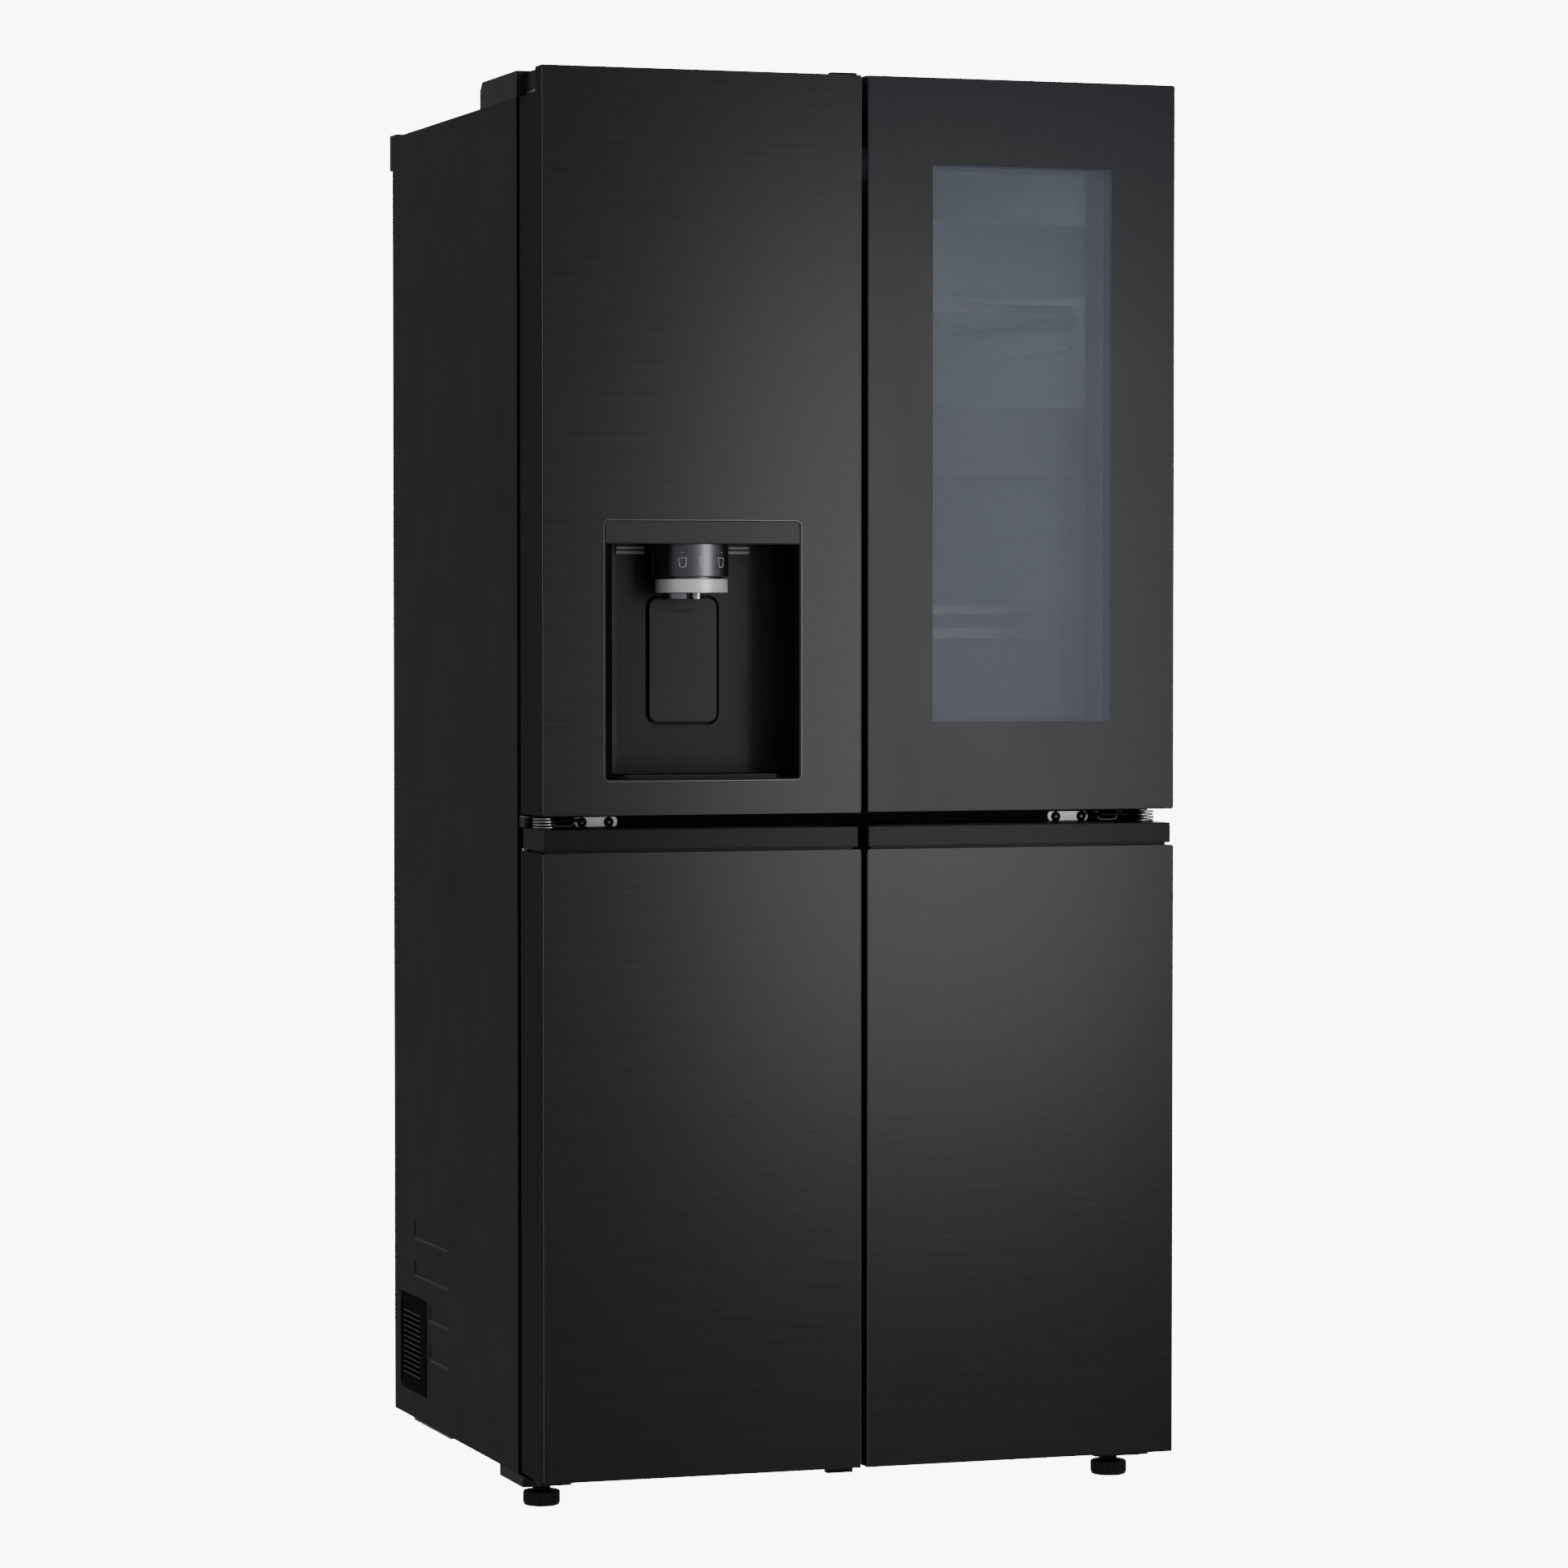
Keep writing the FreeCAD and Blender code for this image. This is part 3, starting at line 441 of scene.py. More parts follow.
def niche_plastic():
    return material("Niche plastic", (0.0082, 0.0084, 0.0108), 0.4, moulded_grain, 0.35, 0.3,
                    Specular_IOR_Level=0.3)


def fascia_plastic():
    return material("Fascia lacquer", (0.018, 0.0185, 0.021), 0.35, moulded_grain, 0.15, 0.05,
                    Specular_IOR_Level=0.4)


# Near black for gaps, slots, dished seats and the space behind the vent: painted shade.
def deep_black():
    return material("Shadow gap black", (0.003, 0.003, 0.003), 0.6, moulded_grain, 0.2, 0.1)


def gunmetal():
    return material("Gunmetal", (0.26, 0.26, 0.275), 0.37, moulded_grain, 0.1, 0.02, Metallic=1.0)


def satin_silver():
    return material("Satin silver", (0.83, 0.84, 0.86), 0.36, moulded_grain, 0.08, 0.02, Metallic=0.45)


def dark_chrome():
    return material("Dark chrome", (0.09, 0.09, 0.1), 0.25, wiped_gloss, 0.1, Metallic=1.0)


def chrome():
    return material("Polished chrome", (0.9, 0.9, 0.91), 0.06, wiped_gloss, 0.04, Metallic=1.0)


def zinc_plate():
    return material("Zinc plate", (0.62, 0.63, 0.65), 0.3, moulded_grain, 0.35, 0.4, Metallic=1.0)


def galvanised():
    return material("Galvanised sheet", (0.34, 0.35, 0.36), 0.45, wiped_gloss, 0.3, 0.1, Metallic=0.8)


def icon_print():
    return material("Pale icon print", (0.72, 0.73, 0.75), 0.4, moulded_grain, 0.05)


def pale_slot():
    return material("Grey lamp lens", (0.2, 0.2, 0.21), 0.3, moulded_grain, 0.1)


def dark_glass():
    colour = bpy.context.scene.fridge_finish.glass
    return material("Dark backed glass", colour, 0.4, wiped_gloss, 0.05, Specular_IOR_Level=0.54)


def window_glass():
    colour = bpy.context.scene.fridge_finish.window
    finish = material("Tinted window glass", colour, 0.4, wiped_gloss, 0.08, Specular_IOR_Level=0.62)
    finish.node_tree.nodes["Principled BSDF"].inputs["Alpha"].default_value = 0.45
    return finish


def clear_glass():
    finish = material("Clear shelf glass", (0.72, 0.84, 0.84), 0.05, wiped_gloss, 0.03)
    finish.node_tree.nodes["Principled BSDF"].inputs["Alpha"].default_value = 0.28
    return finish


def glass_edge():
    return material("Glass edge", (0.3, 0.33, 0.36), 0.12, wiped_gloss, 0.05)


def clear_plastic():
    finish = material("Clear crystal plastic", (0.78, 0.83, 0.87), 0.09, wiped_gloss, 0.05)
    finish.node_tree.nodes["Principled BSDF"].inputs["Alpha"].default_value = 0.34
    return finish


def white_plastic():
    return material("White lining plastic", (0.77, 0.79, 0.8), 0.32, moulded_grain, 0.06, 0.08)


def dark_trim():
    return material("Dark window frame", (0.018, 0.019, 0.022), 0.4, moulded_grain, 0.1, 0.1)


def strip_gloss():
    return material("Handle strip", (0.007, 0.007, 0.0075), 0.3, moulded_grain, 0.3, 0.1,
                    Specular_IOR_Level=0.2)


def pad_plastic():
    return material("Lever pad", (0.0075, 0.0078, 0.0094), 0.33, moulded_grain, 0.4, 0.25,
                    Specular_IOR_Level=0.32)


def bezel_metal():
    return material("Bezel edge", (0.16, 0.16, 0.17), 0.3, moulded_grain, 0.1, 0.02, Metallic=0.8)


def grey_trim():
    return material("Cool grey trim", (0.33, 0.34, 0.36), 0.35, moulded_grain, 0.1, 0.1)


def metal_trim():
    return material("Brushed trim", (0.55, 0.56, 0.58), 0.28, brushed_lines, 0.2, 0.05, 0.0001, Metallic=1.0)


def seal_rubber():
    return material("Door seal", (0.028, 0.028, 0.03), 0.55, moulded_grain, 0.2, 0.15)


def compressor_paint():
    return material("Compressor paint", (0.012, 0.012, 0.013), 0.3, moulded_grain, 0.3, 0.3)


def copper():
    return material("Copper pipe", (0.75, 0.4, 0.24), 0.28, wiped_gloss, 0.25, Metallic=1.0)


def foam_finish():
    return material("Insulation foam", (0.78, 0.7, 0.48), 0.85, moulded_grain, 0.3, 0.6, 0.0005)


def lamp_panel():
    finish = material("Lamp panel", (0.9, 0.93, 1.0), 0.4, moulded_grain, 0.02)
    shader = finish.node_tree.nodes["Principled BSDF"]
    shader.inputs["Emission Color"].default_value = (0.86, 0.92, 1.0, 1)
    shader.inputs["Emission Strength"].default_value = bpy.context.scene.fridge_finish.lamp
    return finish


# Properties ---------------------------------------------------------------------------------


class FridgeFinish(bpy.types.PropertyGroup):
    """Colours and brightness of the finished pieces."""

    steel: bpy.props.FloatVectorProperty(
        name="Door steel", description="Colour of the brushed door skins", subtype="COLOR",
        default=(0.05, 0.051, 0.053), min=0, max=1)
    side: bpy.props.FloatVectorProperty(
        name="Side panel", description="Colour of the coated cabinet sides", subtype="COLOR",
        default=(0.0148, 0.0148, 0.0175), min=0, max=1)
    plastic: bpy.props.FloatVectorProperty(
        name="Black plastic", description="Colour of the strips, caps and feet", subtype="COLOR",
        default=(0.006, 0.006, 0.0065), min=0, max=1)
    glass: bpy.props.FloatVectorProperty(
        name="Glass door", description="Colour behind the glass of the upper right door", subtype="COLOR",
        default=(0.0085, 0.0085, 0.0125), min=0, max=1)
    window: bpy.props.FloatVectorProperty(
        name="Window", description="Tint of the clear window", subtype="COLOR",
        default=(0.068, 0.076, 0.112), min=0, max=1)
    lamp: bpy.props.FloatProperty(
        name="Inside lamp", description="Strength of the lamp panel", default=14.0, min=0, unit="NONE")


class FridgeSizes(bpy.types.PropertyGroup):
    """Sizes of the small pieces."""

    bezel: bpy.props.FloatProperty(
        name="Bezel width", description="Width of the bright line round the dispenser",
        default=0.0014, min=0.0004, max=0.004, unit="LENGTH")
    seal_lip: bpy.props.FloatProperty(
        name="Seal lip", description="Thickness of the seal's folds",
        default=0.0022, min=0.001, max=0.005, unit="LENGTH")
    basket_corner: bpy.props.FloatProperty(
        name="Basket corner", description="Corner radius of the door baskets",
        default=0.016, min=0.002, max=0.04, unit="LENGTH")


class FridgeOperator(bpy.types.Operator):
    """Base of the builders: execute runs the build method that each of them has."""

    bl_options = {"REGISTER"}

    def execute(self, context):
        self.build(context)
        return {"FINISHED"}

    def build(self, context):
        raise NotImplementedError(self.bl_idname)


# Stage --------------------------------------------------------------------------------------


class FRIDGE_OT_stage(FridgeOperator):
    """Pale floor, soft studio light and the camera"""

    bl_idname = "fridge.stage"
    bl_label = "Stage"

    def build(self, context):
        self.floor()
        self.world(context)
        self.lights()
        self.camera(context)

    def floor(self):
        bm = bmesh.new()
        bmesh.ops.create_grid(bm, x_segments=1, y_segments=1, size=30)
        mesh = bpy.data.meshes.new("studio_floor")
        bm.to_mesh(mesh)
        bm.free()
        floor = bpy.data.objects.new("studio_floor", mesh)
        floor.location.z = -0.0005
        bpy.context.scene.collection.objects.link(floor)
        finish = bpy.data.materials.new("Studio floor")
        finish.use_nodes = True
        tree = finish.node_tree
        shader = tree.nodes["Principled BSDF"]
        shader.inputs["Base Color"].default_value = (0.86, 0.86, 0.86, 1)
        shader.inputs["Roughness"].default_value = 0.9
        shader.inputs["Emission Color"].default_value = (1, 1, 1, 1)
        ray = tree.nodes.new("ShaderNodeLightPath")
        glow = tree.nodes.new("ShaderNodeMath")
        glow.operation = "MULTIPLY"
        glow.inputs[1].default_value = BACKDROP_GLOW
        tree.links.new(ray.outputs["Is Camera Ray"], glow.inputs[0])
        tree.links.new(glow.outputs["Value"], shader.inputs["Emission Strength"])
        mesh.materials.append(finish)
        floor.visible_glossy = False

    def world(self, context):
        world = bpy.data.worlds.new("Studio")
        context.scene.world = world
        world.use_nodes = True
        tree = world.node_tree
        surround = tree.nodes["Background"]
        surround.inputs["Color"].default_value = (0.9, 0.92, 0.95, 1)
        surround.inputs["Strength"].default_value = 0.2
        backdrop = tree.nodes.new("ShaderNodeBackground")
        backdrop.inputs["Color"].default_value = (1, 1, 1, 1)
        backdrop.inputs["Strength"].default_value = BACKDROP_GLOW
        ray = tree.nodes.new("ShaderNodeLightPath")
        choose = tree.nodes.new("ShaderNodeMixShader")
        tree.links.new(ray.outputs["Is Camera Ray"], choose.inputs["Fac"])
        tree.links.new(surround.outputs["Background"], choose.inputs[1])
        tree.links.new(backdrop.outputs["Background"], choose.inputs[2])
        tree.links.new(choose.outputs["Shader"], tree.nodes["World Output"].inputs["Surface"])

    def lights(self):
        self.softbox("front_softbox", (0.59, FRONT - 1.3, 1.05), (0.59, FRONT, 1.05), 0.72, 1.3, 7.0)
        self.softbox("fill_softbox", (0.9, -5.6, 1.2), (0.2, 0.0, 1.0), 5.0, 5.0, 12)
        top = self.softbox("top_softbox", (0.0, -1.2, 4.4), (0.0, -0.4, 0.0), 4.0, 4.0, 150)
        left = self.softbox("left_softbox", (-4.0, -0.4, 2.2), (0.0, 0.0, 0.9), 2.4, 2.4, 20)
        self.softbox("rear_softbox", (1.5, 4.2, 2.4), (0.0, 0.0, 0.9), 3.0, 2.4, 60)
        top.visible_glossy = False
        left.visible_glossy = False

    def softbox(self, name, place, target, width, height, power):
        data = bpy.data.lights.new(name, "AREA")
        data.shape = "RECTANGLE"
        data.size = width
        data.size_y = height
        data.energy = power
        lamp = bpy.data.objects.new(name, data)
        lamp.location = place
        lamp.rotation_euler = (Vector(target) - Vector(place)).to_track_quat("-Z", "Y").to_euler()
        lamp.visible_camera = False
        bpy.context.scene.collection.objects.link(lamp)
        return lamp

    def camera(self, context):
        data = bpy.data.cameras.new("camera")
        data.sensor_width = 36
        data.lens = 124.73
        camera = bpy.data.objects.new("camera", data)
        camera.location = (-2.271, -6.7505, 1.1128)
        camera.rotation_euler = (math.radians(90 - 1.777), 0, math.radians(-18.735))
        context.scene.collection.objects.link(camera)
        context.scene.camera = camera


# Cabinet ------------------------------------------------------------------------------------


class FRIDGE_OT_cabinet(FridgeOperator):
    """The cabinet's outside: sides, frame, back, machine room cover and vent"""

    bl_idname = "fridge.cabinet"
    bl_label = "Cabinet"

    def build(self, context):
        paint(side_steel(), "cabinet_shell")
        paint(dark_frame_paint(), "front_frame")
        paint(galvanised(), "back_panel", "machine_cover", "base_pan")
        paint(foam_finish(), "cabinet_foam", "door_ul_foam", "door_ur_foam", "door_ll_foam", "door_lr_foam")
        paint(vent_plastic(), "vent_grille")
        paint(cover_plastic(), "rear_spacers", "power_inlet")
        self.vent()
        self.side_dishes()
        self.back_ribs()

    def side_dishes(self):
        """Soft pressed fields in both side panels, long ones above the vent and short ones beside it."""
        s0, s1, z0, z1 = span("vent_grille")[2:]
        front_end = s0 - 106.5
        long_rear = s1 - 70.6
        short_rear = s0 - 13
        fields = ((front_end, long_rear, z1 + 76, z1 + 103), (front_end, long_rear, z1 + 26, z1 + 51),
                  (front_end, short_rear, z0 + 102, z0 + 128), (front_end, short_rear, z0 + 50, z0 + 76))
        section = ((4.2, -1.2), (3.4, -1.1), (0.4, -0.1), (-0.4, 0.1), (-1.2, 0.02),
                   (-1.2, -0.1), (0.2, -0.3), (3.4, -1.3), (4.2, -1.4))
        for name, side in (("left", -1), ("right", 1)):
            bm = bmesh.new()
            face = side * CAD_HIGH.x * 1000
            for a0, a1, b0, b1 in fields:
                loops = [[at(face + side * proud, a, b) for a, b in
                          outline(a0 + inset, a1 - inset, b0 + inset, b1 - inset, 7 - inset)]
                         for inset, proud in section]
                loft(bm, loops)
            dishes = make("side_dishes_" + name, bm, side_steel(), CABINET, smooth=60)
            # Dish walls that face up or towards the back take a lighter copy of the side coat: painted
            # highlight where those walls catch the light.
            dishes.data.materials.append(dish_wall_highlight())
            for facet in dishes.data.polygons:
                if facet.normal.z > 0.2 or facet.normal.y > 0.2:
                    facet.material_index = 1

    def vent(self):
        """The vent's raised rim, pale strips of painted highlight on the edges of its slats and a near-black
        sheet of painted shade behind them.
        """
        x0, _, s0, s1, z0, z1 = span("vent_grille")
        bm = bmesh.new()
        loops = [[at(x, a, b) for a, b in outline(s0 + inset, s1 - inset, z0 + inset, z1 - inset, 4)]
                 for inset, x in ((0.2, x0 + 0.2), (0.4, x0 - 0.5), (2.5, x0 - 1.0), (8, x0 - 1.0),
                                  (10, x0 + 0.2))]
        loft(bm, loops, ring=True)
        make("vent_grille_rim", bm, vent_plastic(), CABINET)
        near, far, low, high = s0 + 32, s1 - 17, z0 + 21.5, z1 - 24
        rows, columns = 12, 4
        width = (far - near) / columns
        bar = 1.6
        # Pale strips on the bars: painted highlight where the slats' edges catch the light.
        bm = bmesh.new()
        for row in range(rows + 1):
            z = low + row * (high - low) / rows
            for column in range(columns):
                s = near + column * width
                slab(bm, s + bar, s + width - bar, z - 0.6, z + 0.6, x0 - 0.5, x0 + 0.1,
                     sideways, 0.3, 0.2, 1)
        make("vent_grille_slat_highlights", bm, vent_slat_highlight(), CABINET)
        # A near-black sheet behind the slots: painted shade seen through the openings.
        block("vent_grille_shade_sheet", deep_black(), CABINET,
              near - 8, far + 8, low - 8, high + 8, x0 + 8, x0 + 9.5, sideways, 3, 0.3)

    def back_ribs(self):
        x0, x1, _, s1, z0, z1 = span("back_panel")
        bm = bmesh.new()
        ribs = 5
        margin = 80
        pitch = (x1 - x0 - 2 * margin) / (ribs - 1)
        for number in range(ribs):
            x = x0 + margin + number * pitch
            slab(bm, x - 14, x + 14, z0 + 60, z1 - 60, s1 - 0.2, s1 + 2.2, front, 14, 1.8)
        make("back_panel_ribs", bm, galvanised(), CABINET)


# Hinges -------------------------------------------------------------------------------------


class FRIDGE_OT_hinges(FridgeOperator):
    """Hinge covers, the plated middle hinges and the bottom brackets"""

    bl_idname = "fridge.hinges"
    bl_label = "Hinges"

    def build(self, context):
        paint(cover_plastic(), "hinge_covers")
        paint(zinc_plate(), "top_hinges", "mid_hinges", "hinge_screws")
        paint(cover_plastic(), "bottom_hinges")
        for name, side in (("left", -1), ("right", 1)):
            self.middle_hinge(name, side)

    def middle_hinge(self, name, side):
        """Folded plates, a hooked arm and two screws in dished seats, seen in the seam."""
        s1 = span("mid_hinges")[3]
        seam = (span("door_ul_skin")[4] + span("door_ll_caps")[5]) / 2
        hinge_side = CAD_HIGH.x * 1000

        def across(near, far):
            """A left-to-right pair from two distances in from the door's hinge edge."""
            return sorted((side * (hinge_side - near), side * (hinge_side - far)))

        a0, a1 = across(73, 129)
        plate = block("middle_hinge_plate_" + name, zinc_plate(), CABINET,
                      a0, a1, seam - 9.6, seam + 3.7, s1 - 4, s1 + 0.2, front, 5, 0.8)
        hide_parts("mid_hinges")
        seats = bmesh.new()
        screws = bmesh.new()
        for along in (82.5, 117.5):
            a0, a1 = across(along, along)
            turned_along(seats, [(6.6, 0.4), (6.4, -0.4), (5.6, -0.6), (5.2, 0.0)],
                         at(a0, s1 - 4, seam - 3.4), (0, 1, 0))
            turned_along(screws, [(4.4, 0.6), (4.3, -1.2), (3.3, -2.2), (1.8, -2.5), (1.5, -1.6)],
                         at(a0, s1 - 4.2, seam - 3.6), (0, 1, 0))
        # The dished seats round the screws take the shadow-gap black: painted shade.
        make("middle_hinge_seats_" + name, seats, deep_black(), CABINET)
        make("middle_hinge_screws_" + name, screws, gunmetal(), CABINET)
        a0, a1 = across(30, 76)
        # The strap deep in the seam takes the shadow-gap black: painted shade.
        block("middle_hinge_strap_" + name, deep_black(), CABINET,
              a0, a1, 66, s1 - 6, seam - 1.6, seam + 1.6, level, 6, 0.6)
        hook = [(74, 3.2), (68, 3.2), (67, 1.5), (66, -5.5), (63, -7.2), (44, -7.2), (41, -5.5), (40, 1.5),
                (39, 3.2), (34, 3.2)]
        tube("middle_hinge_hook_" + name, [at(across(a, a)[0], s1 - 22, seam + b) for a, b in hook],
             0.9, zinc_plate(), CABINET)
        layers = bmesh.new()
        for drop, thick, reach, back in ((-8.4, 2.6, 31, 2), (-4.9, 2.8, 29, 0), (-1.2, 2.8, 30, 3),
                                         (2.6, 2.6, 28, 1)):
            a0, a1 = across(6, reach)
            slab(layers, a0, a1, 43 + back, 74, seam + drop, seam + drop + thick, level, 9, 0.8)
        make("middle_hinge_layers_" + name, layers, zinc_plate(), CABINET)
        stop = bmesh.new()
        a0, a1 = across(1.5, 13)
        slab(stop, a0, a1, 84, s1 - 1, seam - 8.2, seam + 6.4, level, 4, 0.8)
        make("middle_hinge_stop_" + name, stop, cover_plastic(), CABINET)
        tube("middle_hinge_stop_edge_" + name, [at(across(u, u)[0], s, seam + 5.2) for u, s in
                                                ((14, 100), (14, 84), (1.6, 84), (1.6, 104))],
             0.8, zinc_plate(), CABINET)


# Doors --------------------------------------------------------------------------------------


class FRIDGE_OT_steel_doors(FridgeOperator):
    """The three brushed steel doors with their strips and caps, the mullion, and every door's lining"""

    bl_idname = "fridge.steel_doors"
    bl_label = "Steel doors"

    def build(self, context):
        paint(black_steel(), "door_ul_skin", "door_ll_skin", "door_lr_skin")
        paint(black_plastic(), "door_ul_caps", "door_ll_caps", "door_lr_caps", "door_ur_caps")
        paint(dark_trim(), "flip_mullion")
        for code, body in DOORS:
            self.lining(code, body)
            if code != "ur":
                self.fold_highlights(code, body)
            if code[0] == "l":
                self.handle_strip(code, body)

    def lining(self, code, body):
        """The lining sheet and the raised wall round the baskets, both with soft corners."""
        node = "door_" + code + "_liner"
        x0, x1, s0, s1, z0, z1 = span(node)
        sheet = s0 + LINER
        bm = bmesh.new()
        if code == "ur":
            hole = span("door_ur_frame")
            rims = [(x0, x1, z0, z1, s, 3) for s in (s0, sheet)]
            rims += [(hole[0] - 0.2, hole[1] + 0.2, hole[4] - 0.2, hole[5] + 0.2, s, 3) for s in (sheet, s0)]
            loft(bm, [[at(a, s, b) for a, b in outline(a0, a1, b0, b1, corner)]
                      for a0, a1, b0, b1, s, corner in rims], ring=True)
        else:
            slab(bm, x0, x1, z0, z1, s0, sheet, front, 3, 0.4)
        back = make("lining_sheet_" + code, bm, white_plastic(), body)
        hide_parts(node)
        a0, a1 = span("door_" + code + "_baskets")[:2]
        b0, b1 = span("fresh_liner" if code[0] == "u" else "freezer_liners")[4:]
        wall = [(0, sheet - 0.1), (0, s1 - 7), (0.5, s1 - 3.5), (2, s1 - 1), (4.5, s1), (7.5, s1),
                (10, s1 - 1), (11.5, s1 - 3.5), (12, s1 - 7), (12, sheet - 0.1)]
        bm = bmesh.new()
        beside = 13
        inside = 6.5
        border(bm, a0 - beside, a1 + beside, b0 + inside, b1 - inside, wall, 13)
        make("lining_wall_" + code, bm, white_plastic(), body, smooth=50)
        if code != "ur":
            self.lining_fields(code, body, a0, a1, sheet)

    def lining_fields(self, code, body, x0, x1, face):
        """Soft raised fields of the lining between one basket and the next."""
        lows = basket_lows(code)
        margin = 22
        bm = bmesh.new()
        for low, upper in zip(lows, lows[1:]):
            slab(bm, x0 + margin, x1 - margin, low + BASKET_HEIGHT + margin, upper - margin,
                 face - 0.5, face + 3, front, 18, 2.6, 4)
        make("lining_fields_" + code, bm, white_plastic(), body, smooth=50)

    def fold_highlights(self, code, body):
        """A painted highlight: a pale line where the sheet folds round each upright edge of the door front,
        standing for the light that the rounded fold catches.
        """
        x0, x1, s0, _, z0, z1 = span("door_" + code + "_skin")
        inset = 0.45
        for name, x in (("left", x0 + inset), ("right", x1 - inset)):
            tube("door_fold_%s_%s" % (code, name), [at(x, s0 + inset, z0 + 2), at(x, s0 + inset, z1 - 2)],
                 0.38, fold_highlight(), body)

    def handle_strip(self, code, body):
        """The glossy facing of the strip that the fingers reach over."""
        x0, x1, _, _, _, z1 = span("door_" + code + "_skin")
        top = span("door_" + code + "_caps")[5]
        block("handle_strip_" + code, strip_gloss(), body,
              x0 + 2.8, x1 - 2.8, z1 + 3, top, 4.2, 9.5, front, 1.6, 1.3)


class FRIDGE_OT_glass_door(FridgeOperator):
    """The glass door: backed glass round a clear window, with its edge line and inner frame"""

    bl_idname = "fridge.glass_door"
    bl_label = "Glass door"

    def build(self, context):
        x0, x1, _, s1, z0, z1 = span("door_ur_glass")
        a0, a1, _, _, b0, b1 = span("door_ur_frame")
        rim = 6.0
        w0, w1, v0, v1 = a0 + rim, a1 - rim, b0 + rim, b1 - rim
        bm = bmesh.new()
        outer = [(0.0, s1), (0.0, 1.0), (0.3, 0.3), (1.0, 0.0)]
        loops = [[at(a, s, b) for a, b in outline(x0 + i, x1 - i, z0 + i, z1 - i, 3.2 - i)] for i, s in outer]
        loops.append([at(a, 0.0, b) for a, b in outline(x0 + 2, x1 - 2, z0 + 2, z1 - 2, 1.5)])
        loops.append([at(a, 0.0, b) for a, b in outline(w0, w1, v0, v1, 0.4)])
        loops.append([at(a, s1, b) for a, b in outline(w0, w1, v0, v1, 0.4)])
        loft(bm, loops, ring=True)
        panel = make("glass_door_panel", bm, dark_glass(), UPPER_RIGHT, smooth=60)
        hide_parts("door_ur_glass")
        block("glass_door_window", window_glass(), UPPER_RIGHT,
              w0 + 0.05, w1 - 0.05, v0 + 0.05, v1 - 0.05, 0.0, s1 - 0.2, front, 0.4, 0.05, 1)
        bm = bmesh.new()
        border(bm, x0 + 0.2, x1 - 0.2, z0 + 0.2, z1 - 0.2,
               [(0, 0.55), (0, 0.95), (0.5, 0.75), (0.6, 0.35)], 3.0)
        make("glass_door_edge_line", bm, glass_edge(), UPPER_RIGHT)
        paint(black_steel(), "door_ur_shell")
        paint(grey_trim(), "door_ur_frame")
        bm = bmesh.new()
        border(bm, w0, w1, v0, v1, [(-0.3, s1 + 0.3), (0.25, s1 + 0.3), (0.25, 28), (-0.3, 28)], 0.4)
        make("glass_door_spacer", bm, dark_trim(), UPPER_RIGHT)
        paint(clear_glass(), "door_ur_pane")


class FRIDGE_OT_seals(FridgeOperator):
    """Folded magnetic seals on the back of every door"""

    bl_idname = "fridge.seals"
    bl_label = "Door seals"

    def build(self, context):
        lip = context.scene.fridge_sizes.seal_lip * 1000
        for code, body in DOORS:
            node = "door_" + code + "_gasket"
            x0, x1, s0, s1, z0, z1 = span(node)
            fold = s1 - 9 - lip
            profile = [(0.5, s1 - 6), (0.0, s1 - 4), (0.0, s1 - 0.6), (1.0, s1), (12.0, s1), (13.5, s1 - 0.8),
                       (14.0, s1 - 4), (13.0, s1 - 6), (10.5, s1 - 7), (13.2, s1 - 8.5), (13.2, fold),
                       (10.0, fold - 1), (10.0, s0), (4.0, s0), (4.0, fold - 1), (1.0, fold),
                       (1.0, s1 - 8.5), (3.2, s1 - 7)]
            bm = bmesh.new()
            border(bm, x0, x1, z0, z1, profile, 3.0)
            seal = make("seal_" + code, bm, seal_rubber(), body, smooth=50)
            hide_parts(node)


# Dispenser ----------------------------------------------------------------------------------


